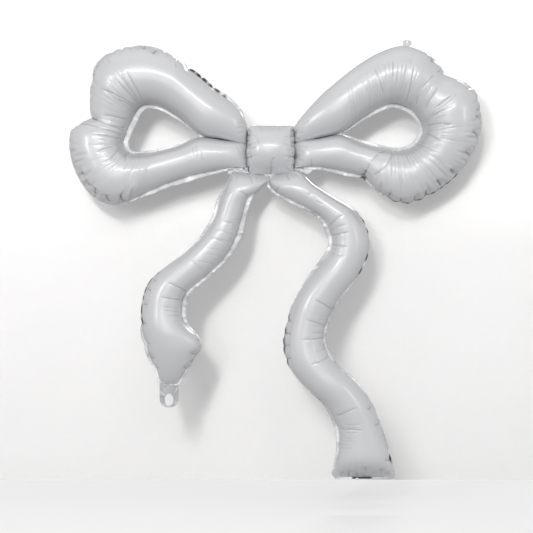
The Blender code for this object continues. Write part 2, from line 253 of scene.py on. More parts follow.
# Stretches where the film is painted dark, as shade and dark reflection, and bites, where its cut
# edge draws in. Columns: x, z, radius.
LEFT_LOOP_DARK: Rows = (
    (-172, 177, 9), (-158, 165, 10), (-147, 155, 9), (-131, 141, 10), (-119, 131, 9), (-104, 117, 8),
)
LEFT_LOOP_BITES: Rows = ((-181, 180, 4), (-152, 158, 2.5), (-127, 136, 3.5), (-108, 119, 3))
RIGHT_LOOP_DARK: Rows = (
    (361, 199, 5), (396, 165, 8), (429, 147, 6), (404, -54, 9), (390, -68, 9), (375, -79, 8), (358, -92, 9),
    (344, -103, 9), (330, -108, 9), (316, -114, 8), (302, -116, 9), (287, -116, 9), (272, -110, 8),
    (204, -60, 7), (258, -106, 6),
)
KNOT_DARK: Rows = (
    (-54, 37, 8), (-55, 18, 7), (-54, -2, 6), (-53, -18, 8), (-49, -40, 8), (54, 44, 7), (55, 30, 7),
    (56, 14, 8), (55, -2, 8), (55, -20, 9), (52, -34, 7),
)
LEFT_TAIL_DARK: Rows = (
    (-245, -272, 9), (-262, -290, 10), (-274, -306, 8), (-281, -322, 6), (-284, -348, 12), (-286, -374, 9),
    (-4, -62, 8), (-11, -74, 9), (-20, -82, 7),
)
RIGHT_TAIL_DARK: Rows = (
    (75, -58, 10), (100, -76, 16), (38, -366, 9), (31, -395, 8), (27, -418, 10), (27, -436, 10),
    (36, -464, 8), (262, -676, 8), (186, -721, 8), (196, -721, 9), (206, -721, 9), (216, -721, 8),
    (190, -134, 7), (205, -152, 9), (214, -176, 7), (210, -234, 9), (196, -262, 9),
)
RIGHT_TAIL_BITES: Rows = ((163, -719, 9), (190, -719, 4), (232, -719, 8), (252, -719, 5))


class FoldKind(Enum):
    """A kind of fold: how deep it is and how wide its walls are, in millimetres, and how dark its line of
    painted shade.
    """

    NICK = (6.2, 2.2, 1.0)
    CREASE = (1.3, 0.9, 0.5)
    FINE = (0.95, 1.1, 0.2)


@dataclass(frozen=True)
class Fold:
    """One fold, between two places on a chamber."""

    kind: FoldKind
    start: Point
    end: Point
    back: bool = False
    strength: float = 1.0


@dataclass(frozen=True)
class Fan:
    """Fine pleats that spread from a stretch of seam, read as two points on it."""

    start: Point
    end: Point
    count: int
    reach: float
    strength: float = 1.0


def run_length(points: np.ndarray) -> np.ndarray:
    """The distance run at each point of a path.

    Args:
        points: The path, one point a row.

    Returns:
        The distances, from zero.
    """
    steps = np.linalg.norm(np.diff(points, axis=0), axis=1)
    return np.concatenate([[0.0], np.cumsum(steps)])


def smooth_rows(rows: Rows, samples: int) -> np.ndarray:
    """A Catmull-Rom curve through a table's rows, in every column alike.

    Args:
        rows: The table.
        samples: How many rows the result has.

    Returns:
        The dense table.
    """
    table = np.array(rows, float)
    last = len(table) - 1
    place = np.linspace(0, last, samples)
    index = np.minimum(place.astype(int), last - 1)
    t = (place - index)[:, None]
    a, b, c, d = (table[np.clip(index + k, 0, last)] for k in (-1, 0, 1, 2))
    return 0.5 * (2 * b + (c - a) * t + (2 * a - 5 * b + 4 * c - d) * t**2 + (3 * b - a - 3 * c + d) * t**3)


def doubled(values: np.ndarray, axis: int = 0, closed: bool = False) -> np.ndarray:
    """Puts a value half way between each two neighbours, on a cubic through four of them.

    Args:
        values: The values.
        axis: The axis to fill in.
        closed: Whether the last value has the first as its neighbour.

    Returns:
        About twice as many values.
    """
    line = np.moveaxis(values, axis, 0)
    if closed:
        before, after, beyond = (np.roll(line, shift, 0) for shift in (1, -1, -2))
        middle = (9 * (line + after) - (before + beyond)) / 16
    else:
        padded = np.concatenate([2 * line[:1] - line[1:2], line, 2 * line[-1:] - line[-2:-1]])
        middle = (9 * (padded[1:-2] + padded[2:-1]) - (padded[:-3] + padded[3:])) / 16
        middle = np.concatenate([middle, line[-1:]])
    filled = np.stack([line, middle], axis=1).reshape((-1,) + line.shape[1:])
    return np.moveaxis(filled if closed else filled[:-1], 0, axis)


def smooth_step(values: np.ndarray) -> np.ndarray:
    """Eases values between 0 and 1."""
    t = np.clip(values, 0, 1)
    return t * t * (3 - 2 * t)


def wander(along: np.ndarray, wavelength: float, rng: np.random.Generator) -> np.ndarray:
    """Smooth random waves along a path.

    Args:
        along: The distance run at each point.
        wavelength: The distance between two free values.
        rng: The source of the random values.

    Returns:
        A value from about -1 to 1 at each point.
    """
    count = int(along[-1] / wavelength) + 3
    knots = rng.uniform(-1, 1, count)
    place = along / wavelength
    index = place.astype(int)
    t = smooth_step(place - index)
    return knots[index] * (1 - t) + knots[index + 1] * t


def deselect() -> None:
    """Leaves nothing selected, so that an operator acts on new pieces only."""
    bpy.ops.object.select_all(action="DESELECT")


def resampled(table: np.ndarray, along: np.ndarray, places: np.ndarray) -> np.ndarray:
    """Reads a table's columns off at other places along it.

    Args:
        table: The table.
        along: Where each of its rows lies.
        places: Where the new rows lie.

    Returns:
        The new rows.
    """
    return np.stack([np.interp(places, along, column) for column in table.T], axis=1)


def nearness(points: np.ndarray, spot: Place, power: int) -> np.ndarray:
    """How near points are to a spot: 1 on it, and falling off at its radius.

    Args:
        points: The points, with x first and z last.
        spot: The spot's x, z and radius.
        power: How sharply it falls off.

    Returns:
        A share for each point.
    """
    x, z, radius = spot
    away = np.hypot(points[..., 0] - x, points[..., -1] - z)
    return np.exp(-((away / radius) ** power))


def unit(ways: np.ndarray) -> np.ndarray:
    """Directions of length 1."""
    return ways / np.linalg.norm(ways, axis=-1, keepdims=True)


def grid_piece(name: str, points: np.ndarray, wall: float = 0.0) -> bpy.types.Object:
    """A sheet with one vertex for each point, made from a grid primitive.

    Args:
        name: The piece's name.
        points: The places in millimetres, by row and column.
        wall: The sheet's thickness in millimetres, or none for a closed tube.

    Returns:
        The piece, its place in its mesh, with a UV map that runs along the rows and columns.
    """
    rows, columns = points.shape[:2]
    deselect()
    bpy.ops.mesh.primitive_grid_add(x_subdivisions=columns - 1, y_subdivisions=rows - 1, size=1)
    obj = bpy.context.object
    obj.name = name
    mesh = obj.data
    mesh.name = name
    flat = np.empty(len(mesh.vertices) * 3)
    mesh.vertices.foreach_get("co", flat)
    places = flat.reshape(-1, 3)
    column = np.rint((places[:, 0] + 0.5) * (columns - 1)).astype(int)
    row = np.rint((places[:, 1] + 0.5) * (rows - 1)).astype(int)
    mesh.vertices.foreach_set("co", (points[row, column] * MM).ravel())
    corner = np.empty(len(mesh.loops), int)
    mesh.loops.foreach_get("vertex_index", corner)
    along = run_length(points.mean(axis=1)) * MM
    layer = mesh.uv_layers.active or mesh.uv_layers.new(name="along")
    uv = np.stack([along[row[corner]], column[corner] / (columns - 1)], axis=1)
    layer.data.foreach_set("uv", uv.ravel().astype(np.float32))
    mesh.attributes.new("grid_row", "INT", "POINT").data.foreach_set("value", row)
    mesh.attributes.new("grid_column", "INT", "POINT").data.foreach_set("value", column)
    bpy.ops.object.mode_set(mode="EDIT")
    bpy.ops.mesh.select_all(action="SELECT")
    bpy.ops.mesh.remove_doubles(threshold=MERGE * MM)
    bpy.ops.mesh.dissolve_degenerate(threshold=MERGE * MM / 10)
    bpy.ops.mesh.normals_make_consistent(inside=False)
    bpy.ops.object.mode_set(mode="OBJECT")
    if wall:
        thick = obj.modifiers.new("wall", "SOLIDIFY")
        thick.thickness = wall * MM
        thick.offset = 0
        bpy.ops.object.modifier_apply(modifier=thick.name)
    bpy.ops.object.shade_smooth()
    return obj


def paint(obj: bpy.types.Object, name: str, values: np.ndarray) -> None:
    """Stores a value for each row and column on a grid piece, for its material.

    Args:
        obj: The piece, from grid_piece.
        name: The attribute's name.
        values: The values, by row and column.
    """
    mesh = obj.data
    row = np.empty(len(mesh.vertices), int)
    column = np.empty(len(mesh.vertices), int)
    mesh.attributes["grid_row"].data.foreach_get("value", row)
    mesh.attributes["grid_column"].data.foreach_get("value", column)
    layer = mesh.attributes.new(name, "FLOAT", "POINT")
    layer.data.foreach_set("value", values[row, column].astype(np.float32))


def dress(
    piece: bpy.types.Object, body: str, nodes: tuple[str, ...], material: bpy.types.Material
) -> None:
    """Gives a piece its material and its place in the frame.

    Args:
        piece: The piece.
        body: The body that it moves with.
        nodes: The CAD nodes that it stands for.
        material: Its material.
    """
    piece.data.materials.append(material)
    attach(piece, body)
    if nodes:
        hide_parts(*nodes)
    LOG.info("%s: %d faces", piece.name, len(piece.data.polygons))


def bridging_film(
    name: str, first: np.ndarray, second: np.ndarray, shares: np.ndarray, lift: np.ndarray
) -> bpy.types.Object:
    """A sheet of flat film between two lines.

    Args:
        name: Its name.
        first: One line, x and z.
        second: The other line, x and z.
        shares: Where its rows lie, from 0 on the first line to 1 on the second.
        lift: How far it ripples out of its plane half way, at each point of the lines.

    Returns:
        The piece.
    """
    rows = []
    for share in shares:
        flat = first * (1 - share) + second * share
        rows.append(np.stack([flat[:, 0], lift * np.sin(pi * share), flat[:, 1]], axis=1))
    return grid_piece(name, np.stack(rows, axis=1), FILM_WALL)


class FoilSheet:
    """A ring-and-rung grid of thin foil that settles under gas pressure and finds its own folds.

    Gas pushes each point out by PUFF millimetres a step, and DRAG is the share of its speed that it
    keeps. A seam is pulled back to its place by SEAM_HOLD and flat by SEAM_FLAT. The slanting threads
    are mended by SKEW_SHARE only, and SMOOTHING takes out folds finer than the grid. ROUGHEN is the
    first unevenness, in millimetres.
    """

    PUFF = 0.02
    DRAG = 0.9
    SEAM_HOLD = 0.25
    SEAM_FLAT = 0.7
    SMOOTHING = 0.12
    SKEW_SHARE = 0.6
    ROUGHEN = 0.35
    ROUGHEN_PASSES = 2
    PASSES = 2
    REACH_SLACK = 0.5

    def __init__(self, chamber: Chamber) -> None:
        """Measures a chamber's foil, which was cut for a wider tube than the chamber's own.

        Args:
            chamber: The chamber.
        """
        self.chamber = chamber
        self.start = start = chamber.loft()
        self.place = start.copy()
        rungs, self.around = start.shape[:2]
        pattern = chamber.loft(chamber.ease)
        self.hoop = self._gaps(start, np.roll(start, -1, 1))
        plain = self._gaps(start[1:], start[:-1])
        self.lengthwise = np.maximum(self._gaps(pattern[1:], pattern[:-1]), plain)
        side = (self.lengthwise + np.roll(self.lengthwise, -1, 1)) / 2
        plain_side = (plain + np.roll(plain, -1, 1)) / 2
        hoop = (self.hoop[1:] + self.hoop[:-1]) / 2
        growth = np.sqrt((side**2 + hoop**2) / (plain_side**2 + hoop**2))
        beside = np.roll(start, -1, 1)
        self.rising = self._gaps(start[1:], beside[:-1]) * growth
        self.falling = self._gaps(start[:-1], beside[1:]) * growth
        noise = chamber.rng.normal(0, 1, (rungs, self.around))
        for _ in range(self.ROUGHEN_PASSES):
            noise = (noise + np.roll(noise, 1, 1) + np.roll(noise, -1, 1)) / 3
        self.place[..., 1] += self.ROUGHEN * noise * chamber.slack() * np.sign(start[..., 1])

    @staticmethod
    def _gaps(first: np.ndarray, second: np.ndarray) -> np.ndarray:
        """The distances between two sets of points."""
        return np.linalg.norm(first - second, axis=-1)

    @staticmethod
    def _pull(first: np.ndarray, second: np.ndarray, rest: np.ndarray, share: float = 1.0) -> None:
        """Moves both ends of each thread towards its length, in place.

        Args:
            first: One end of each thread.
            second: The other end of each thread.
            rest: Each thread's length.
            share: How much of the error is mended.
        """
        gap = second - first
        length = np.sqrt((gap * gap).sum(-1, keepdims=True))
        move = gap * (0.5 * share * (1 - rest[..., None] / np.maximum(length, TINY)))
        first += move
        second -= move

    def _normals(self) -> np.ndarray:
        """The foil's normals.

        Returns:
            Directions of length 1, out of the tube.
        """
        round_step = np.roll(self.place, -1, 1) - np.roll(self.place, 1, 1)
        rung_step = np.zeros_like(self.place)
        rung_step[1:-1] = self.place[2:] - self.place[:-2]
        normal = np.cross(rung_step, round_step)
        normal /= np.maximum(np.linalg.norm(normal, axis=-1, keepdims=True), TINY)
        outward = (normal[..., 1] * np.sign(self.start[..., 1])).sum()
        return normal if outward > 0 else -normal

    def _mend_threads(self) -> None:
        """Brings every thread of the foil near its length, a set of separate threads at a time."""
        place = self.place
        last = len(place) - 1
        for first in (0, 1):
            end = (last - first) // 2 * 2 + first
            self._pull(place[first:end:2], place[first + 1:end + 1:2], self.lengthwise[first:end:2])
        for first in (0, 1):
            here = np.arange(first, self.around, 2)
            there = (here + 1) % self.around
            one, other = place[:, here], place[:, there]
            self._pull(one, other, self.hoop[:, here])
            place[:, here], place[:, there] = one, other
        for first in (0, 1):
            end = (last - first) // 2 * 2 + first
            low = np.arange(first, end, 2)
            for side in (0, 1):
                here = np.arange(side, self.around, 2)
                there = (here + 1) % self.around
                for one_rows, other_rows, rest in ((low + 1, low, self.rising), (low, low + 1, self.falling)):
                    one_at, other_at = np.ix_(one_rows, here), np.ix_(other_rows, there)
                    one, other = place[one_at], place[other_at]
                    self._pull(one, other, rest[np.ix_(low, here)], self.SKEW_SHARE)
                    place[one_at], place[other_at] = one, other

    def settle(self) -> np.ndarray:
        """Lets the foil move for the chamber's rounds, no further out than its film lets it.

        Returns:
            The settled places.
        """
        middle, across = self.chamber.middle, self.chamber.across
        bulge = self.chamber.bulge * self.chamber.hidden
        limits = self.chamber.half[:, None] + bulge + self.REACH_SLACK
        speed = np.zeros_like(self.place)
        seams = (0, self.around // 2)
        for _ in range(self.chamber.rounds):
            speed = speed * self.DRAG + self._normals() * self.PUFF
            before = self.place.copy()
            self.place += speed
            for _ in range(self.PASSES):
                self._mend_threads()
                between = (self.place[2:] + self.place[:-2]) / 2
                self.place[1:-1] += self.SMOOTHING * (between - self.place[1:-1])
                for seam in seams:
                    missing = self.start[:, seam] - self.place[:, seam]
                    self.place[:, seam] += self.SEAM_HOLD * missing * (1, 0, 1)
                    self.place[:, seam, 1] *= self.SEAM_FLAT
            self.place[0], self.place[-1] = self.start[0], self.start[-1]
            reach = ((self.place[..., [0, 2]] - middle[:, None]) * across[:, None]).sum(-1)
            kept = np.clip(reach, -limits[:, 1:2], limits[:, 0:1]) - reach
            self.place[..., 0] += kept * across[:, 0:1]
            self.place[..., 2] += kept * across[:, 1:2]
            speed = self.place - before
        return self.place


@dataclass
class Chamber:
    """One inflated chamber: a tube of foil along a ladder of rungs.

    Its depth is depth_ratio of a rung, and less near its ends, where it rises by start_slope and
    end_slope. Where its film is hidden, the foil bulges past the weld and the seam sinks into a groove.
    Painted shade darkens the foil at its ends, at its seams and beside the inner seam. Sizes are in
    millimetres, and shares and slopes are plain numbers.
    """

    name: str
    body: str
    rows: Rows
    depth_ratio: float
    start_slope: float
    end_slope: float
    nicks: Rows = ()
    creases: Rows = ()
    marks: Rows = ()
    fans: tuple[Fan, ...] = ()
    fold_share: float = 1.0
    end_shade: float = 0.0
    inner_shade: float = 0.0
    seam_shade: float = 0.0
    groove: float = 5.0
    bulge: float = 4.0
    rung_step: float = 2.8
    round_step: float = 5.4
    ease: float = 0.3
    depth_spread: float = 0.0
    rounds: int = 160
    seed: int = 1
    place: np.ndarray = field(init=False)

    SAMPLES = 4000
    OUTER_SHARE = 0.7
    GROOVE_ANGLE = 0.2
    HIDDEN_FILM = 2.0
    SHOWN_FILM = 5.0
    FILM_EDGE = 0.3
    HIDDEN_REACH = 0.9
    BACK_SHIFT = 6.0
    SOFT_WIDTH = 4.5
    SOFT_SHARE = 0.25
    NICK_SOFT_SHARE = 0.5
    LINE_WIDTH = 1.0
    NICK_TAIL = 8.0
    PINCH_WAVE = 6.0
    PINCH_WIDTH = 3.0
    SPOT_WAVE = 7.0
    SPOT_WIDTH = 6.0
    PINCH_HEIGHT = 1.0
    INNER_REACH = 16.0
    FADE_START = 0.12
    FADE_END = 0.25
    BACK_STRENGTH = (0.5, 1.0)
    PLEAT_JITTER = 0.4
    PLEAT_REACH = (0.5, 1.0)
    PLEAT_ROOT = (0.02, 0.12)
    PLEAT_STRENGTH = (0.3, 1.0)
    PINCH_UNEVEN = 0.25
    FULL_DEPTH = 8.0

    def __post_init__(self) -> None:
        """Reads evenly spaced rungs off a smooth curve through the table, and works out each one's depth."""
        self.rng = np.random.default_rng(self.seed)
        dense = smooth_rows(self.rows, self.SAMPLES)
        between = self.OUTER_SHARE * dense[:, 0:2] + (1 - self.OUTER_SHARE) * dense[:, 2:4]
        along = run_length(between)
        even = np.linspace(0, along[-1], int(along[-1] / self.rung_step))
        rungs = resampled(dense, along, even)
        outer, inner = rungs[:, 0:2], rungs[:, 2:4]
        self.widths = rungs[:, 4:6]
        self.middle = (outer + inner) / 2
        self.half = np.linalg.norm(outer - inner, axis=1) / 2
        self.across = (outer - inner) / (2 * self.half[:, None])
        self.run = run_length(self.middle)
        near = int(self.depth_spread / self.rung_step)
        padded = np.pad(self.half, near, mode="edge")
        most = self.depth_ratio * np.convolve(padded, np.full(2 * near + 1, 1 / (2 * near + 1)), mode="valid")
        from_start = self.start_slope * self.run
        from_end = self.end_slope * (self.run[-1] - self.run)
        self.depth = most * np.tanh(np.minimum(from_start, from_end) / most)
        shown = (self.widths - self.HIDDEN_FILM) / (self.SHOWN_FILM - self.HIDDEN_FILM)
        self.hidden = (1 - np.clip(shown, 0, 1)) * np.minimum(self.depth / most, 1)[:, None]
        self._share_round(2 * int(round(pi * self.half.mean() / self.round_step)))

    def _share_round(self, count: int) -> None:
        """Sets how many places lie round the tube, from the outer seam over the front."""
        self.around = count
        self.turn = 2 * pi * np.arange(count) / count

    def _leaning(self, reach: np.ndarray, y: np.ndarray) -> np.ndarray:
        """Vectors that go along the rungs by reach, and out of their plane by y."""
        return np.stack([self.across[:, 0:1] * reach, y, self.across[:, 1:2] * reach], axis=-1)

    def loft(self, ease: float = 0.0) -> np.ndarray:
        """The tube's places.

        Args:
            ease: How much wider than the rungs the tube is, as a share of half a rung.

        Returns:
            The places in millimetres, by rung and place round it, from the outer seam over the front.
        """
        cosine = np.cos(self.turn)
        half = self.half[:, None]
        reach = half * cosine
        outer_turn = np.minimum(self.turn, 2 * pi - self.turn)
        for side, sign, away in ((0, 1, outer_turn), (1, -1, pi - outer_turn)):
            hidden = self.hidden[:, side:side + 1]
            share = np.maximum(sign * cosine, 0)
            dip = np.exp(-((away / self.GROOVE_ANGLE) ** 2))
            reach = reach + sign * hidden * ((self.bulge + ease * half) * share - self.groove * dip)
        place = self._leaning(reach, -self.depth[:, None] * np.sin(self.turn))
        place[..., [0, 2]] += self.middle[:, None]
        return place

    def slack(self) -> np.ndarray:
        """Where the foil has length to spare: beside the seams that it bulges past."""
        cosine = np.cos(self.turn)
        return self.hidden[:, 0:1] * np.maximum(cosine, 0) + self.hidden[:, 1:2] * np.maximum(-cosine, 0)

    def film_reach(self) -> np.ndarray:
        """How far the film runs out from each seam on each rung: little where the foil bulges over it."""
        return self.HIDDEN_REACH * self.hidden + self.FILM_EDGE + self.widths * (1 - self.hidden)

    def outward(self) -> np.ndarray:
        """The directions out of the tube.

        Returns:
            Directions of length 1, by rung and place round it.
        """
        cosine = np.cos(self.turn) / self.half[:, None]
        sine = np.sin(self.turn) / np.maximum(self.depth, 1.0)[:, None]
        return unit(self._leaning(cosine, -sine))

    def locate(self, point: Point) -> tuple[int, float]:
        """Where a point read from the front lies on the tube.

        Args:
            point: Its x and z.

        Returns:
            The nearest rung, and the angle from the outer seam.
        """
        offset = np.array(point) - self.middle
        beside = (offset * self.across).sum(1)
        off_rung = np.linalg.norm(offset - beside[:, None] * self.across, axis=1)
        rung = int(np.argmin(off_rung + np.maximum(np.abs(beside) - self.half, 0)))
        return rung, float(np.arccos(np.clip(beside[rung] / self.half[rung], -1, 1)))

    def refine(self) -> None:
        """Doubles the settled tube's rungs and the places round it."""
        self.place = doubled(doubled(self.place), axis=1, closed=True)
        self._share_round(2 * self.around)
        for name in ("middle", "across", "half", "depth", "run", "widths", "hidden"):
            setattr(self, name, doubled(getattr(self, name)))
        self.across = unit(self.across)
        self.hidden = np.clip(self.hidden, 0, 1)

    def folds(self) -> list[Fold]:
        """Lists every fold of both faces.

        Returns:
            The folds of the tables and fans, and like ones behind.
        """
        share = self.fold_share
        listed = [Fold(FoldKind.NICK, row[0:2], row[2:4], strength=share) for row in self.nicks]
        for kind, rows in ((FoldKind.CREASE, self.creases), (FoldKind.FINE, self.marks)):
            listed += [Fold(kind, row[0:2], row[2:4]) for row in rows]
        behind = [Fold(FoldKind.NICK, row[0:2], row[2:4], True, share) for row in self.nicks]
        for row in self.creases:
            moved = np.array(row) + self.rng.uniform(-self.BACK_SHIFT, self.BACK_SHIFT, 4)
            strength = self.rng.uniform(*self.BACK_STRENGTH)
            behind.append(Fold(FoldKind.CREASE, tuple(moved[0:2]), tuple(moved[2:4]), True, strength))
        for fan in self.fans:
            for back in (False, True):
                listed += self.spread(fan, back)
        return listed + behind

    def spread(self, fan: Fan, back: bool) -> list[Fold]:
        """The pleats of one fan.

        Args:
            fan: The fan.
            back: Whether it is on the back.

        Returns:
            Its folds.
        """
        (first, first_turn), (last, _) = self.locate(fan.start), self.locate(fan.end)
        at_inner = first_turn > pi / 2
        folds = []
        for share in np.linspace(0, 1, fan.count):
            jitter = self.rng.uniform(-self.PLEAT_JITTER, self.PLEAT_JITTER)
            place = first + (last - first) * share + jitter * (last - first) / fan.count
            rung = int(np.clip(place, 0, len(self.half) - 1))
            tip = fan.reach * self.rng.uniform(*self.PLEAT_REACH) * pi
            root = self.rng.uniform(*self.PLEAT_ROOT) * pi
            low, high = (pi - root, pi - tip) if at_inner else (root, tip)
            ends = [self.middle[rung] + self.across[rung] * self.half[rung] * np.cos(a) for a in (low, high)]
            strength = fan.strength * self.rng.uniform(*self.PLEAT_STRENGTH)
            folds.append(Fold(FoldKind.FINE, tuple(ends[0]), tuple(ends[1]), back, strength))
        return folds

    def press(self, folds: list[Fold]) -> None:
        """Presses folds into the foil, and paints shade along their lines.

        Args:
            folds: The folds.
        """
        pitch = np.linalg.norm(np.gradient(self.place, axis=0), axis=-1)
        mean_pitch = np.gradient(self.run).mean()
        angle = np.minimum(self.turn, 2 * pi - self.turn)
        is_back = self.turn > pi
        sink = np.zeros(self.place.shape[:2])
        dark = np.zeros(self.place.shape[:2])
        for fold in folds:
            (rung_a, turn_a), (rung_b, turn_b) = self.locate(fold.start), self.locate(fold.end)
            radius = (self.half[rung_a] + self.half[rung_b]) / 2
            columns = [int(round(turn * self.around / (2 * pi))) for turn in (turn_a, turn_b)]
            stretch = (pitch[rung_a, columns[0]] + pitch[rung_b, columns[1]]) / 2 / mean_pitch
            start = np.array((self.run[rung_a] * stretch, turn_a * radius))
            line = np.array((self.run[rung_b] * stretch, turn_b * radius)) - start
            length = max(np.linalg.norm(line), 1.0)
            line /= length
            lengthwise = (self.run * stretch - start[0])[:, None]
            crosswise = (angle * radius - start[1])[None, :]
            share = (lengthwise * line[0] + crosswise * line[1]) / length
            off = np.abs(lengthwise * line[1] - crosswise * line[0])
            depth, width, tone = fold.kind.value
            fade = smooth_step((1 - share) / self.FADE_END)
            if fold.kind is FoldKind.NICK:
                fade = np.where(share < 0, smooth_step(1 + share * length / self.NICK_TAIL), fade)
                soft_share = self.NICK_SOFT_SHARE
            else:
                fade = fade * smooth_step(share / self.FADE_START + 0.5)
                soft_share = self.SOFT_SHARE
            fade = fade * fold.strength * (is_back if fold.back else ~is_back)
            sharp = np.exp(-off / width)
            soft = np.exp(-((off / (self.SOFT_WIDTH * width)) ** 2))
            sink += depth * fade * ((1 - soft_share) * sharp + soft_share * soft)
            # Painted shade along the fold's line.
            dark = np.maximum(dark, tone * fade * np.exp(-((off / self.LINE_WIDTH) ** 2)))
        swell = np.clip(self.depth / self.FULL_DEPTH, 0, 1)[:, None]
        self.place -= self.outward() * (sink * swell)[..., None]
        # Painted shade: dark lines along the folds, and shade at the ends, seams and eye.
        self.painted_shade_mask = self._shaded(dark)

    def _shaded(self, dark: np.ndarray) -> np.ndarray:
        """Adds painted shade at the ends, at the seams and beside the inner seam.

        Args:
            dark: How dark the folds' lines are, by rung and place round the tube.

        Returns:
            The same with the shade, where that is darker.
        """
        from_end = np.minimum(self.run, self.run[-1] - self.run)[:, None]
        waves = wander(self.run, self.PINCH_WAVE, self.rng)[:, None]
        uneven = 1 - self.PINCH_UNEVEN + self.PINCH_UNEVEN * waves
        spots = wander(self.turn * self.half[0], self.SPOT_WAVE, self.rng)[None, :]
        reach = self.PINCH_WIDTH + self.SPOT_WIDTH * np.maximum(spots, 0) ** 2
        dark = np.maximum(dark, self.end_shade * np.exp(-((from_end / reach) ** 2)))
        from_seam = self.half[:, None] * (1 - np.abs(np.cos(self.turn)))
        pinch = self.seam_shade * uneven * np.exp(-from_seam / self.PINCH_HEIGHT)
        dark = np.maximum(dark, pinch)
        from_inner = self.half[:, None] * (1 + np.cos(self.turn))
        middle = smooth_step(self.depth / self.depth.max() * 2 - 1)[:, None]
        return np.maximum(dark, self.inner_shade * middle * np.exp(-from_inner / self.INNER_REACH))

    def build(self, material: bpy.types.Material) -> None:
        """Makes the chamber.

        Args:
            material: Its foil.
        """
        self.place = FoilSheet(self).settle()
        self.refine()
        self.press(self.folds())
        place, mask = (np.concatenate([v, v[:, :1]], axis=1) for v in (self.place, self.painted_shade_mask))
        piece = grid_piece(self.name, place)
        # The fold attribute holds the painted shade for the foil's material.
        paint(piece, "fold", mask)
        dress(piece, self.body, (self.name + "_front", self.name + "_back"), material)

    def seam(self, inner: bool) -> np.ndarray:
        """The settled seam, x and z, at each rung."""
        column = self.around // 2 if inner else 0
        return self.place[:, column][:, [0, 2]]


@dataclass
class WeldedFilm:
    """A strip of flat welded film outside a seam.

    It reaches under the foil by lap, and its widths follow the seam's path. Where it is painted dark, as
    shade and dark reflection, it is at least DARK_REACH wide, and at a bite it loses BITE_SHARE of its
    width. Its ripple is full where it is FULL_WIDTH wide. Sizes are in millimetres.
    """

    name: str
    body: str
    nodes: tuple[str, ...]
    path: np.ndarray
    outward: np.ndarray
    widths: np.ndarray
    lap: float = 3.0
    ripple: float = 0.6
    dark: Rows = ()
    bites: Rows = ()
    seed: int = 3

    STEP = 2.0
    SHARES = (0.0, 0.12, 0.35, 0.6, 0.82, 1.0)
    DARK_REACH = 1.9
    BITE_SHARE = 0.75
    RIPPLE_WAVE = 7.0
    SMALL_SHARE = 0.5
    TWIST = 5.0
    TWIST_WAVE = 9.0
    FULL_WIDTH = 6.0
    LEAST_LIFT = 0.4
    MOST_LIFT = 1.2
    CUT_WAVE = 18.0
    CUT_SHARE = 0.15

    def grid(self) -> np.ndarray:
        """Lays the strip out along its path.

        Returns:
            Its places, across from under the foil's edge over the weld to the cut edge.
        """
        rng = np.random.default_rng(self.seed)
        along = run_length(self.path)
        even = np.linspace(0, along[-1], max(int(along[-1] / self.STEP), 4))
        path = resampled(self.path, along, even)
        outward = unit(resampled(self.outward, along, even))
        widths = np.interp(even, along, self.widths)
        widths = widths * (1 + self.CUT_SHARE * wander(even, self.CUT_WAVE, rng))
        for spot in self.dark:
            widths = np.maximum(widths, self.DARK_REACH * nearness(path, spot, 2))
        for spot in self.bites:
            widths = widths * (1 - self.BITE_SHARE * nearness(path, spot, 2))
        big = wander(even, self.RIPPLE_WAVE, rng)
        small = self.SMALL_SHARE * wander(even, self.RIPPLE_WAVE / 2, rng)
        lift = self.ripple * np.clip(widths / self.FULL_WIDTH, self.LEAST_LIFT, self.MOST_LIFT)
        rows = []
        for share in (-1.0,) + self.SHARES:
            reach = share * (widths if share > 0 else np.full(len(widths), self.lap))
            flat = path + outward * reach[:, None]
            wave = big + small * np.sin(self.TWIST * share + even / self.TWIST_WAVE)
            rows.append(np.stack([flat[:, 0], lift * max(share, 0) * wave, flat[:, 1]], axis=1))
        return np.stack(rows, axis=1)

    def build(self, material: bpy.types.Material) -> None:
        """Makes the strip.

        Args:
            material: Its film.
        """
        grid = self.grid()
        piece = grid_piece(self.name, grid, FILM_WALL)
        # Painted shade and dark reflection on the dark stretches, kept in the shade attribute.
        shade = np.zeros(grid.shape[:2])
        for spot in self.dark:
            shade = np.maximum(shade, nearness(grid, spot, 4))
        paint(piece, "shade", shade)
        dress(piece, self.body, self.nodes, material)


def pillow_outline(
    chamber: Chamber, both_ends: bool, end_width: float
) -> tuple[np.ndarray, np.ndarray, np.ndarray]:
    """The path round a chamber: down its left seam, across its end and up its right seam.

    Args:
        chamber: The chamber.
        both_ends: Whether the path also runs across its start.
        end_width: The film's width at the ends.

    Returns:
        The path, the directions out of it and the widths.
    """
    half_way = chamber.around // 2
    left, right = chamber.seam(False), chamber.seam(True)
    reach = chamber.film_reach()
    end = chamber.place[-1, 1:half_way][:, [0, 2]]
    end_way = unit(chamber.middle[-1] - chamber.middle[-4])
    parts = [left, end, right[::-1]]
    ways = [chamber.across, np.zeros_like(end) + end_way, -chamber.across[::-1]]
    widths = [reach[:, 0], np.full(len(end), end_width), reach[::-1, 1]]
    if both_ends:
        start = chamber.place[0, 1:half_way][::-1][:, [0, 2]]
        start_way = unit(chamber.middle[0] - chamber.middle[3])
        parts += [start, left[:2]]
        ways += [np.zeros_like(start) + start_way, chamber.across[:2]]
        widths += [np.full(len(start), end_width), reach[:2, 0]]
    return np.concatenate(parts), np.concatenate(ways), np.concatenate(widths)


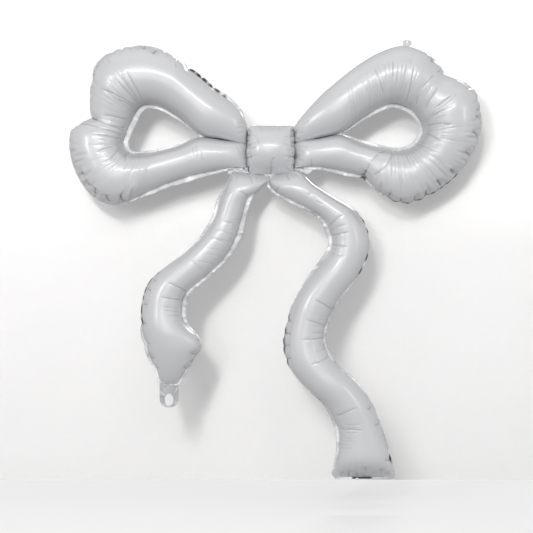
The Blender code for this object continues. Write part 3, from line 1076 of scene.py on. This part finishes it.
class Graph:
    """The nodes of one material, or of the world."""

    DRAWN_OUT = (1.0, 0.012, 1.0)

    def __init__(self, owner: bpy.types.Material | bpy.types.World) -> None:
        """Empties its owner's nodes."""
        owner.use_nodes = True
        self.owner = owner
        self.tree = owner.node_tree
        self.tree.nodes.clear()

    def add(self, kind: str, inputs: dict | None = None, **settings: object) -> bpy.types.Node:
        """Adds one node.

        Args:
            kind: The node's type.
            inputs: The values or links of its sockets, by name or number.
            **settings: Its own properties. A ramp's stops are a list of (place, colour).

        Returns:
            The node.
        """
        node = self.tree.nodes.new(kind)
        for key, value in settings.items():
            if key == "stops":
                self._stops(node.color_ramp, value)
            else:
                setattr(node, key, value)
        for key, value in (inputs or {}).items():
            if isinstance(value, Socket):
                value = value.output
            if isinstance(value, bpy.types.NodeSocket):
                self.tree.links.new(value, node.inputs[key])
            else:
                node.inputs[key].default_value = value
        return node

    @staticmethod
    def _stops(ramp: bpy.types.ColorRamp, stops: list[tuple[float, Color]]) -> None:
        """Sets a ramp's stops.

        Args:
            ramp: The ramp.
            stops: The place and colour of each stop, in order.
        """
        while len(ramp.elements) < len(stops):
            ramp.elements.new(0.5)
        for element, (place, color) in zip(ramp.elements, stops):
            element.position = place
            element.color = color

    def value(self, node: bpy.types.Node, output: int | str = 0) -> "Socket":
        """Wraps a node's output for arithmetic."""
        return Socket(self, node.outputs[output])

    def place(self) -> bpy.types.NodeSocket:
        """The place on the piece."""
        return self.add("ShaderNodeTexCoord").outputs["Object"]

    def strip(self) -> tuple[bpy.types.NodeSocket, "Socket"]:
        """The piece's own map, which runs along and across a strip or tube.

        Returns:
            The map drawn out across, and how far across a place lies, from 0 to 1.
        """
        uv = self.add("ShaderNodeUVMap", uv_map="UVMap").outputs[0]
        across = self.value(self.add("ShaderNodeSeparateXYZ", {0: uv}), 1)
        scaled = {"Vector": uv, "Scale": self.DRAWN_OUT}
        return self.add("ShaderNodeMapping", scaled, vector_type="POINT").outputs[0], across

    def attribute(self, name: str) -> "Socket":
        """A value stored on the mesh."""
        return self.value(self.add("ShaderNodeAttribute", attribute_name=name), "Fac")

    def noise(self, vector: bpy.types.NodeSocket, scale: float, detail: float = 2.0) -> "Socket":
        """Soft noise at a scale."""
        inputs = {"Vector": vector, "Scale": scale, "Detail": detail}
        return self.value(self.add("ShaderNodeTexNoise", inputs), "Fac")

    def mix(
        self, share: "Socket", first: Color | bpy.types.NodeSocket, second: Color
    ) -> bpy.types.NodeSocket:
        """A colour between two."""
        return self.add("ShaderNodeMix", {0: share, 6: first, 7: second}, data_type="RGBA").outputs[2]

    def film(
        self, color: bpy.types.NodeSocket, height: "Socket", bump: tuple[float, float], inputs: dict
    ) -> bpy.types.Material:
        """Finishes a material of foil or film.

        Args:
            color: Its colour.
            height: The height of its fine relief, from 0 to 1.
            bump: The relief's strength, and its full height in metres.
            inputs: The values of the shader's other sockets.

        Returns:
            The material.
        """
        relief = {"Strength": bump[0], "Distance": bump[1], "Height": height}
        normal = self.add("ShaderNodeBump", relief).outputs[0]
        shader = self.add("ShaderNodeBsdfPrincipled", {"Base Color": color, **inputs, "Normal": normal})
        return self.finish("ShaderNodeOutputMaterial", shader)

    def finish(self, kind: str, shader: bpy.types.Node) -> bpy.types.Material | bpy.types.World:
        """Links the last shader to an output node, and gives the owner back."""
        self.add(kind, {"Surface": shader.outputs[0]})
        return self.owner


class Socket:
    """A node's output that takes part in arithmetic."""

    def __init__(self, graph: Graph, output: bpy.types.NodeSocket) -> None:
        """Wraps an output of a graph."""
        self.graph = graph
        self.output = output

    def _maths(self, operation: str, *values: "Socket | float") -> "Socket":
        """Adds one Math node over values."""
        node = self.graph.add("ShaderNodeMath", dict(enumerate(values)), operation=operation)
        return Socket(self.graph, node.outputs[0])

    def __add__(self, other: "Socket | float") -> "Socket":
        """The sum."""
        return self._maths("ADD", self, other)

    def __sub__(self, other: "Socket | float") -> "Socket":
        """The difference."""
        return self._maths("SUBTRACT", self, other)

    def __rsub__(self, other: float) -> "Socket":
        """The difference, from a number."""
        return self._maths("SUBTRACT", other, self)

    def __mul__(self, other: "Socket | float") -> "Socket":
        """The product."""
        return self._maths("MULTIPLY", self, other)

    __radd__ = __add__
    __rmul__ = __mul__

    def sine(self) -> "Socket":
        """The sine."""
        return self._maths("SINE", self)

    def power(self, exponent: float) -> "Socket":
        """The value to a power."""
        return self._maths("POWER", self, exponent)

    def size(self) -> "Socket":
        """The value without its sign."""
        return self._maths("ABSOLUTE", self)

    def clamped(self) -> "Socket":
        """The value, kept from 0 to 1."""
        return self._maths("MINIMUM", self._maths("MAXIMUM", self, 0.0), 1.0)


@dataclass(frozen=True)
class FoilFinish:
    """Satin pearl-grey metallised foil: cloudy, with painted shade in folds, and crinkles that run off the
    seams.
    """

    name: str = "satin_grey_foil"
    pale: Color = (0.6, 0.603, 0.615, 1)
    deep: Color = (0.555, 0.558, 0.571, 1)
    # The colour of the painted shade in folds, at ends and seams and beside the eye, and how much of it
    # shows.
    fold: Color = (0.09, 0.092, 0.1, 1)
    fold_share: float = 0.88
    metallic: float = 0.35
    roughness: float = 0.34
    roughness_spread: float = 0.08
    coat: float = 0.85
    coat_roughness: float = 0.11
    cloud_scale: float = 9.0
    crinkle_scale: float = 260.0
    fine_scale: float = 420.0
    seam_crinkle: float = 0.8
    open_crinkle: float = 0.12
    fine_crinkle: float = 0.05
    bump: tuple[float, float] = (0.35, 0.0012)

    def build(self) -> bpy.types.Material:
        """Makes the material.

        Returns:
            The material.
        """
        g = Graph(bpy.data.materials.new(self.name))
        place = g.place()
        drawn, across = g.strip()
        cloud = g.noise(place, self.cloud_scale, 3.0)
        # Painted shade: the fold attribute darkens the foil and thins its coat in folds, at ends and seams
        # and beside the eye.
        fold = g.attribute("fold").clamped()
        color = g.mix(fold * self.fold_share, g.mix(cloud, self.pale, self.deep), self.fold)
        from_seam = (across * (2 * pi)).sine().size()
        near_seam = (1.0 - from_seam).power(2.0)
        crinkle = g.noise(drawn, self.crinkle_scale) * (near_seam * self.seam_crinkle + self.open_crinkle)
        height = crinkle + g.noise(place, self.fine_scale) * self.fine_crinkle
        return g.film(color, height, self.bump, {
            "Metallic": self.metallic,
            "Roughness": (cloud + fold) * self.roughness_spread + self.roughness,
            "Coat Weight": (1.0 - fold) * self.coat,
            "Coat Roughness": self.coat_roughness,
        })


@dataclass(frozen=True)
class SeamFinish:
    """Glossy silver film, crumpled: painted shade at the weld and cut edge, painted highlights along its
    core.

    Places and widths across the film run from 0, under the foil, to 1, at the cut edge.
    """

    name: str = "silver_seam_film"
    # Bright is the painted highlight; edge and weld are the painted shade at the cut edge and at the weld.
    bright: Color = (0.9, 0.902, 0.908, 1)
    dull: Color = (0.44, 0.443, 0.455, 1)
    edge: Color = (0.48, 0.483, 0.492, 1)
    weld: Color = (0.02, 0.02, 0.023, 1)
    metallic: float = 0.3
    roughness: float = 0.22
    roughness_spread: float = 0.1
    coat: float = 0.6
    coat_roughness: float = 0.1
    weld_place: float = 0.2
    weld_width: float = 0.1
    weld_shade_share: float = 0.6
    core_place: float = 0.58
    core_width: float = 0.3
    core_share: float = 0.25
    rim_place: float = 0.82
    rim_shade_share: float = 0.8
    patch_scale: float = 40.0
    crumple_scale: float = 75.0
    streak_scale: float = 16.0
    streak_gain: float = 4.5
    patch_gain: float = 1.8
    painted_sheen_floor: float = 2.8
    patch_height: float = 0.4
    bump: tuple[float, float] = (0.3, 0.0012)

    def build(self) -> bpy.types.Material:
        """Makes the material.

        Returns:
            The material.
        """
        g = Graph(bpy.data.materials.new(self.name))
        drawn, across = g.strip()
        patches = g.noise(g.place(), self.patch_scale)
        # Painted shade: a dark line where the foil meets the film, and the painted dark stretches.
        weld = (1.0 - (across - self.weld_place).size() * (1 / self.weld_width)).clamped()
        dark = (weld * self.weld_shade_share + g.attribute("shade")).clamped()
        # Painted highlights: bright streaks and a bright core along the film.
        core = (1.0 - (across - self.core_place).size() * (1 / self.core_width)).clamped()
        streaks = g.noise(drawn, self.streak_scale, 1.0) * self.streak_gain
        uneven = (streaks + patches * self.patch_gain - self.painted_sheen_floor).clamped()
        painted_sheen = uneven * (1 - self.core_share) + core * self.core_share
        # Painted shade along the cut edge.
        rim = ((across - self.rim_place) * (1 / (1 - self.rim_place))).clamped() * self.rim_shade_share
        edged = g.mix(rim, g.mix(painted_sheen, self.dull, self.bright), self.edge)
        height = g.noise(drawn, self.crumple_scale) + patches * self.patch_height
        return g.film(g.mix(dark, edged, self.weld), height, self.bump, {
            "Metallic": self.metallic,
            "Roughness": patches * self.roughness_spread + self.roughness,
            "Coat Weight": (1.0 - dark) * self.coat,
            "Coat Roughness": self.coat_roughness,
        })


@dataclass(frozen=True)
class TabFinish:
    """Clear glossy film, two sheets welded, milky in patches."""

    name: str = "clear_tab_film"
    clear: Color = (0.68, 0.685, 0.695, 1)
    milky: Color = (0.26, 0.266, 0.28, 1)
    metallic: float = 0.25
    roughness: float = 0.12
    alpha: float = 0.65
    alpha_spread: float = 0.3
    coat: float = 0.9
    coat_roughness: float = 0.05
    patch_scale: float = 45.0
    crumple_scale: float = 120.0
    patch_height: float = 0.8
    bump: tuple[float, float] = (0.7, 0.0015)

    def build(self) -> bpy.types.Material:
        """Makes the material.

        Returns:
            The material.
        """
        g = Graph(bpy.data.materials.new(self.name))
        place = g.place()
        patches = g.noise(place, self.patch_scale)
        height = g.noise(place, self.crumple_scale, 3.0) + patches * self.patch_height
        return g.film(g.mix(patches, self.clear, self.milky), height, self.bump, {
            "Metallic": self.metallic,
            "Roughness": (patches + 1.0) * self.roughness,
            "Alpha": patches * self.alpha_spread + self.alpha,
            "Coat Weight": self.coat,
            "Coat Roughness": self.coat_roughness,
        })


@dataclass
class Tab:
    """A flat punched tab: a ring of film from its hole, round middle, out to its edge.

    Sizes are in millimetres. The corners that are rounded are those at its top, or else at its foot.
    Its film ripples by BELLY of ripple between the hole and the edge, and by EDGE_LIFT of it at the edge.
    """

    name: str
    body: str
    middle: Point
    width: float
    top: float
    foot: float
    corner: float
    round_top: bool
    hole: Point
    ripple: float
    seed: int

    AROUND = 96
    WAVES = 5
    BELLY = 0.7
    EDGE_LIFT = 0.5
    SHARES = (0.0, 0.05, 0.15, 0.35, 0.6, 0.82, 0.96, 1.0)

    def edge(self, angles: np.ndarray) -> np.ndarray:
        """The tab's outline, where rays from the hole's middle meet it.

        Args:
            angles: The rays' angles.

        Returns:
            A point for each ray.
        """
        x, z = self.middle
        half = self.width / 2
        edge = []
        for angle in angles:
            way = np.array((np.cos(angle), np.sin(angle)))
            limit = self.top - z if way[1] > 0 else z - self.foot
            point = way * min(half / max(abs(way[0]), TINY), limit / max(abs(way[1]), TINY))
            inner = np.array((half - self.corner, limit - self.corner))
            if (way[1] > 0) == self.round_top and (np.abs(point) > inner).all():
                along = np.abs(way) @ inner
                gap = along**2 - (inner @ inner - self.corner**2)
                point = way * (along + np.sqrt(max(gap, 0)))
            edge.append(point)
        return np.array(edge) + (x, z)

    def build(self, material: bpy.types.Material) -> None:
        """Makes the tab.

        Args:
            material: Its film.
        """
        rng = np.random.default_rng(self.seed)
        angles = 2 * pi * np.arange(self.AROUND + 1) / self.AROUND
        edge = self.edge(angles)
        rim = np.array(self.middle) + np.stack(
            [self.hole[0] / 2 * np.cos(angles), self.hole[1] / 2 * np.sin(angles)], axis=1
        )
        run = run_length(edge)
        waves = self.ripple * wander(run, self.width / self.WAVES, rng)
        waves[-1] = waves[0]
        rows = []
        for share in self.SHARES:
            flat = rim + (edge - rim) * share
            lift = waves * (self.BELLY * np.sin(pi * share) ** 2 + self.EDGE_LIFT * share)
            rows.append(np.stack([flat[:, 0], lift, flat[:, 1]], axis=1))
        grid = np.stack(rows, axis=0)
        grid[:, -1] = grid[:, 0]
        piece = grid_piece(self.name + "_film", grid, FILM_WALL)
        dress(piece, self.body, (self.name,), material)


@dataclass(frozen=True)
class Lamp:
    """A soft area light that faces the balloon.

    Its place and size are in metres and its power in watts. It may be kept out of glossy surfaces, and
    may light the backdrop only.
    """

    name: str
    place: Place
    size: tuple[float, float]
    power: float
    mirrored: bool = True
    backdrop_only: bool = False


LAMPS = (
    Lamp("left_window", (-1.9, -2.3, 0.45), (0.4, 0.8), 6.3),
    Lamp("front_strip", (0.0, -2.6, 0.95), (2.0, 0.17), 14),
    Lamp("top", (-0.2, -0.9, 2.8), (3.6, 2.4), 6),
    Lamp("front_fill", (-0.5, -2.6, 0.35), (0.16, 0.16), 14, mirrored=False),
    Lamp("front_window", (-0.35, -3.1, 0.0), (1.2, 0.9), 3.2),
    Lamp("right_window", (2.3, -2.1, 0.4), (0.3, 0.8), 2.5),
    Lamp("overhead_shade", (-0.8, -6.0, 1.5), (0.55, 0.55), 195, mirrored=False, backdrop_only=True),
    Lamp("left_shade", (-1.6, -6.0, 0.5), (0.8, 0.8), 95, mirrored=False, backdrop_only=True),
    Lamp("rear_strip", (0.5, 2.6, 1.1), (1.5, 0.3), 18),
)


@dataclass(frozen=True)
class Studio:
    """A pale room: floor, backdrop, soft lights and the camera.

    The backdrop is upright down to wall_bend and bends over wall_curve into its slope. The floor and it
    give glow_share of their look of their own. The room's light is low, level and high by height, and
    weaker by room_behind at the back. Lengths are in metres, and the lens is in millimetres.
    """

    wall_y: float = 0.125
    wall_bend: float = -0.12
    wall_curve: float = 0.02
    wall_slope: float = 0.42
    wall_rows: int = 180
    wall_color: Color = (0.56, 0.558, 0.554, 1)
    wall_glow: float = 1.6
    floor_z: float = -0.785
    floor_color: Color = (0.88, 0.877, 0.872, 1)
    floor_glow: float = 0.9
    size: float = 9.0
    grain_scale: float = 3.0
    grain_shade: float = 0.985
    glow_share: float = 0.14
    room: tuple[Color, ...] = ((0.48, 0.48, 0.485, 1), (0.79, 0.79, 0.796, 1), (0.775, 0.775, 0.78, 1))
    room_behind: float = 0.3
    aim: Place = (0.0, 0.0, -0.1)
    camera_place: Place = (-0.0088, -3.0, -0.2541)
    lens: float = 92.1
    sensor: float = 36.0

    def material(self, name: str, color: Color, glow: float) -> bpy.types.Material:
        """A matt pale material that shows only from the front, and only to the camera.

        Args:
            name: Its name.
            color: Its colour.
            glow: How much light it gives of its own.

        Returns:
            The material.
        """
        g = Graph(bpy.data.materials.new(name))
        low = tuple(self.grain_shade * c for c in color[:3]) + (1,)
        shown_color = g.mix(g.noise(g.place(), self.grain_scale), color, low)
        matt = g.add("ShaderNodeBsdfDiffuse", {"Color": shown_color})
        own = g.add("ShaderNodeEmission", {"Color": shown_color, "Strength": glow})
        lit = g.add("ShaderNodeMixShader", {0: self.glow_share, 1: matt.outputs[0], 2: own.outputs[0]})
        clear = g.add("ShaderNodeBsdfTransparent")
        seen = g.value(g.add("ShaderNodeLightPath"), "Is Camera Ray")
        front = 1.0 - g.value(g.add("ShaderNodeNewGeometry"), "Backfacing")
        both = g.add("ShaderNodeMixShader", {0: seen * front, 1: clear.outputs[0], 2: lit.outputs[0]})
        return g.finish("ShaderNodeOutputMaterial", both)

    def floor(self) -> None:
        """The floor, under the tails."""
        deselect()
        bpy.ops.mesh.primitive_plane_add(size=self.size, location=(0, 0, self.floor_z))
        floor = bpy.context.object
        floor.name = "floor"
        floor.data.materials.append(self.material("pale_floor", self.floor_color, self.floor_glow))

    def backdrop(self) -> bpy.types.Object:
        """Stands the backdrop upright close behind the loops, and sloping away behind the tails, which swing.

        Returns:
            The backdrop.
        """
        deselect()
        bpy.ops.mesh.primitive_grid_add(
            x_subdivisions=1, y_subdivisions=self.wall_rows, size=self.size, rotation=(radians(90), 0, 0)
        )
        bpy.ops.object.transform_apply(location=True, rotation=True, scale=True)
        wall = bpy.context.object
        wall.name = "backdrop"
        for vertex in wall.data.vertices:
            below = max(self.wall_bend - vertex.co.z, 0.0)
            vertex.co.y = self.wall_y + self.wall_slope * below**2 / (below + self.wall_curve)
        bpy.ops.object.shade_smooth()
        wall.data.materials.append(self.material("pale_wall", self.wall_color, self.wall_glow))
        return wall

    def light(self, lamp: Lamp, backdrop: bpy.types.Collection) -> None:
        """Hangs one lamp.

        Args:
            lamp: The lamp.
            backdrop: What it lights if it lights the backdrop only.
        """
        light = bpy.data.lights.new(lamp.name, "AREA")
        light.shape = "RECTANGLE"
        light.size, light.size_y = lamp.size
        light.energy = lamp.power
        obj = bpy.data.objects.new(lamp.name, light)
        bpy.context.scene.collection.objects.link(obj)
        obj.location = lamp.place
        aim = Vector(self.aim) - Vector(lamp.place)
        obj.rotation_euler = aim.to_track_quat("-Z", "Y").to_euler()
        obj.visible_camera = False
        obj.visible_glossy = lamp.mirrored
        if lamp.backdrop_only:
            obj.light_linking.receiver_collection = backdrop

    def world(self) -> None:
        """A room of even light, darker below and behind the balloon."""
        world = bpy.data.worlds.new("pale_room")
        bpy.context.scene.world = world
        g = Graph(world)
        split = g.add("ShaderNodeSeparateXYZ", {0: g.add("ShaderNodeTexCoord").outputs["Generated"]})
        height = (g.value(split, 2) + 1.0) * 0.5
        ramp = g.add("ShaderNodeValToRGB", {0: height}, stops=list(zip((0.0, 0.5, 1.0), self.room)))
        strength = (1.0 - g.value(split, 1) * self.room_behind).clamped()
        even = g.add("ShaderNodeBackground", {"Color": ramp.outputs[0], "Strength": strength})
        g.finish("ShaderNodeOutputWorld", even)

    def camera(self) -> None:
        """The camera, level in front."""
        camera = bpy.data.cameras.new("camera")
        camera.lens = self.lens
        camera.sensor_width = self.sensor
        obj = bpy.data.objects.new("camera", camera)
        bpy.context.scene.collection.objects.link(obj)
        obj.location = self.camera_place
        obj.rotation_euler = (radians(90), 0, 0)
        bpy.context.scene.camera = obj
        bpy.context.scene.view_settings.view_transform = "Standard"

    def build(self) -> None:
        """Sets the stage, the lights and the camera."""
        self.floor()
        backdrop = bpy.data.collections.new("backdrop_only")
        backdrop.objects.link(self.backdrop())
        for lamp in LAMPS:
            self.light(lamp, backdrop)
        self.world()
        self.camera()


class BowBalloon:
    """The whole balloon.

    The weld along a loop's arms is read off at ARM_POINTS places, reaches past both lines by its
    shares, and is painted dark, as shade in the groove between the arms, up to DARK_ARM_X from the
    middle. Each film has its seed, counted from its chamber's. Sizes are in millimetres.
    """

    DARK_ARM_X = 130.0
    ARM_POINTS = 90
    ARM_SHARES = (-0.4, 1.4, 7)
    ARM_RUN = 120.0
    ARM_WAVE = 9.0
    ARM_RIPPLE = 0.3
    EYE_RIPPLE = 0.3
    KNOT_END, TAIL_END = 0.8, 4.0
    KNOT_RIPPLE, TAIL_RIPPLE = 0.6, 1.1
    EYE_SEED, ARM_SEED, PILLOW_SEED, WEB_SEED = 20, 40, 60, 77
    WEB_TOP = ((-94, -41), (-57, -38), (-46, -48), (0, -52), (46, -48), (57, -38), (98, -35))
    WEB_FOOT = (
        (-94, -54), (-80, -48), (-46, -54), (-8, -66), (-2, -71),
        (8, -62), (44, -52), (62, -44), (83, -54), (98, -37),
    )
    WEB_LAP = 1.0
    WEB_POINTS = 120
    WEB_ROWS = 6
    WEB_WAVE = 5.0
    WEB_RIPPLE = 0.9

    def __init__(self) -> None:
        """Names the chambers."""
        self.left_loop = Chamber(
            "left_loop", "root", LEFT_LOOP, 0.88, 1.6, 1.8,
            nicks=LEFT_LOOP_NICKS, creases=LEFT_LOOP_CREASES, marks=LEFT_LOOP_MARKS, seed=11, end_shade=0.95,
            inner_shade=0.36,
            fans=(
                Fan((-280, 101), (-316, 48), 34, 0.7, 0.9),
                Fan((-318, 40), (-302, -6), 24, 0.66, 0.9),
                Fan((-300, -8), (-258, -3), 14, 0.66, 0.8),
            ),
        )
        self.right_loop = Chamber(
            "right_loop", "root", RIGHT_LOOP, 0.88, 1.6, 1.8,
            nicks=RIGHT_LOOP_NICKS, creases=RIGHT_LOOP_CREASES, marks=RIGHT_LOOP_MARKS, seed=12,
            end_shade=0.95, inner_shade=0.15,
            fans=(
                Fan((182, 58), (232, 92), 26, 0.78, 1.0),
                Fan((232, 92), (285, 103), 24, 0.78, 1.0),
                Fan((288, 102), (331, 66), 16, 0.68, 0.8),
                Fan((334, 62), (318, 14), 34, 0.68, 1.1),
                Fan((318, 14), (262, 3), 38, 0.8, 1.4),
            ),
        )
        self.knot = Chamber(
            "knot", "root", KNOT, 0.72, 1.5, 1.6,
            nicks=KNOT_NICKS, creases=KNOT_CREASES, marks=KNOT_MARKS, seed=13, rung_step=2.2, round_step=3.6,
            fold_share=0.55, seam_shade=1.0, groove=2.5, bulge=1.6, ease=0.25, rounds=90,
            fans=(Fan((-53, -35), (-50, 45), 9, 0.2, 0.9), Fan((53, -35), (51, 45), 9, 0.2, 0.9)),
        )
        self.left_tail = Chamber(
            "left_tail", "left_tail", LEFT_TAIL, 0.9, 1.5, 0.8,
            nicks=LEFT_TAIL_NICKS, creases=LEFT_TAIL_CREASES, marks=LEFT_TAIL_MARKS, seed=14,
            fold_share=0.6, groove=3.5, bulge=2.5, ease=0.25, depth_spread=45,
            fans=(
                Fan((-184, -310), (-192, -375), 14, 0.42, 0.7),
                Fan((-150, -275), (-175, -300), 4, 0.3, 0.6),
                Fan((-66, -150), (-118, -250), 13, 0.6, 0.8),
            ),
        )
        self.right_tail = Chamber(
            "right_tail", "right_tail", RIGHT_TAIL, 0.9, 1.5, 2.0,
            nicks=RIGHT_TAIL_NICKS, creases=RIGHT_TAIL_CREASES, marks=RIGHT_TAIL_MARKS, seed=15,
            fold_share=0.6, groove=3.5, bulge=2.5, ease=0.25,
            fans=(
                Fan((111, -145), (131, -222), 10, 0.4, 0.7),
                Fan((140, -340), (119, -440), 14, 0.42, 0.7),
                Fan((130, -570), (152, -650), 12, 0.4, 0.8),
            ),
        )

    def build(self) -> None:
        """Makes every piece."""
        foil = FoilFinish().build()
        film = SeamFinish().build()
        clear = TabFinish().build()
        for chamber in (self.left_loop, self.right_loop, self.knot, self.left_tail, self.right_tail):
            chamber.build(foil)
        self.loop_films(self.left_loop, LEFT_LOOP_DARK, LEFT_LOOP_BITES, film)
        self.loop_films(self.right_loop, RIGHT_LOOP_DARK, (), film)
        self.pillow_film(self.knot, KNOT_DARK, (), film)
        self.pillow_film(self.left_tail, LEFT_TAIL_DARK, (), film)
        self.pillow_film(self.right_tail, RIGHT_TAIL_DARK, RIGHT_TAIL_BITES, film)
        self.neck_web(film)
        self.tabs(clear)

    def loop_films(self, loop: Chamber, dark: Rows, bites: Rows, film: bpy.types.Material) -> None:
        """Makes the film round one loop's outside, round its eye and along the weld of its arms.

        Args:
            loop: The loop.
            dark: Where the film outside is painted dark, as shade and dark reflection.
            bites: Where the film outside draws in.
            film: The material.
        """
        outer, inner = loop.seam(False), loop.seam(True)
        reach = loop.film_reach()
        WeldedFilm(
            loop.name + "_outer_film", "root", (loop.name + "_outer_seam",), outer, loop.across,
            reach[:, 0], dark=dark, bites=bites, seed=loop.seed,
        ).build(film)
        eye = np.abs(inner[:, 0]) > EYE_TIP_X
        WeldedFilm(
            loop.name + "_eye_film", "root", (loop.name + "_eye_seam",), inner[eye], -loop.across[eye],
            reach[eye, 1], ripple=self.EYE_RIPPLE, seed=loop.seed + self.EYE_SEED,
        ).build(film)
        half_way = len(inner) // 2
        upper = inner[:half_way][~eye[:half_way]]
        lower = inner[half_way:][~eye[half_way:]][::-1]
        places = np.linspace(0, 1, self.ARM_POINTS)
        upper, lower = (resampled(line, np.linspace(0, 1, len(line)), places) for line in (upper, lower))
        rng = np.random.default_rng(loop.seed + self.ARM_SEED)
        lift = self.ARM_RIPPLE * wander(self.ARM_RUN * places, self.ARM_WAVE, rng)
        shares = np.linspace(*self.ARM_SHARES)
        weld = bridging_film(loop.name + "_arm_weld", upper, lower, shares, lift)
        # Painted shade in the groove between the arms, fading out towards the eye's tip.
        toward_tip = (np.abs(upper[:, 0]) - self.DARK_ARM_X) / (EYE_TIP_X - self.DARK_ARM_X)
        paint(weld, "shade", np.repeat(1 - smooth_step(toward_tip)[:, None], len(shares), axis=1))
        dress(weld, "root", (), film)

    def pillow_film(self, chamber: Chamber, dark: Rows, bites: Rows, film: bpy.types.Material) -> None:
        """Makes the film round the knot, or round a tail, whose neck has none.

        Args:
            chamber: The knot or tail.
            dark: Where the film is painted dark, as shade and dark reflection.
            bites: Where the film draws in.
            film: The material.
        """
        is_knot = chamber is self.knot
        end_width = self.KNOT_END if is_knot else self.TAIL_END
        ripple = self.KNOT_RIPPLE if is_knot else self.TAIL_RIPPLE
        path, ways, widths = pillow_outline(chamber, is_knot, end_width)
        WeldedFilm(
            chamber.name + "_film", chamber.body, (chamber.name + "_seam",), path, ways, widths,
            dark=dark, bites=bites, ripple=ripple, seed=chamber.seed + self.PILLOW_SEED,
        ).build(film)

    def neck_web(self, film: bpy.types.Material) -> None:
        """Makes the crumpled film under the knot, from which the tails hang.

        Args:
            film: The material.
        """
        top, foot = np.array(self.WEB_TOP, float), np.array(self.WEB_FOOT, float)
        x = np.linspace(top[0, 0], top[-1, 0], self.WEB_POINTS)
        high = np.stack([x, np.interp(x, top[:, 0], top[:, 1]) + self.WEB_LAP], axis=1)
        low = np.stack([x, np.interp(x, foot[:, 0], foot[:, 1])], axis=1)
        lift = self.WEB_RIPPLE * wander(x - x[0], self.WEB_WAVE, np.random.default_rng(self.WEB_SEED))
        web = bridging_film("neck_web_film", high, low, np.linspace(0, 1, self.WEB_ROWS), lift)
        dress(web, "root", ("neck_web",), film)

    def tabs(self, clear: bpy.types.Material) -> None:
        """Makes the hanging tab and the filling tab.

        Args:
            clear: Their material.
        """
        Tab(
            "hanging_tab", "root", middle=(300.5, 239.5), width=20.0, top=243.6, foot=232.5,
            corner=6.0, round_top=True, hole=(4.8, 4.8), ripple=0.4, seed=5,
        ).build(clear)
        Tab(
            "inflation_tab", "left_tail", middle=(-223.0, -547.0), width=42.0, top=-511.0, foot=-564.0,
            corner=19.0, round_top=False, hole=(19.0, 27.0), ripple=1.6, seed=6,
        ).build(clear)


def main() -> None:
    """Builds the balloon in its studio."""
    logging.basicConfig(level=logging.INFO, format="%(name)s %(message)s")
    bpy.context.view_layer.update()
    Studio().build()
    BowBalloon().build()


if __name__ == "__main__":
    main()
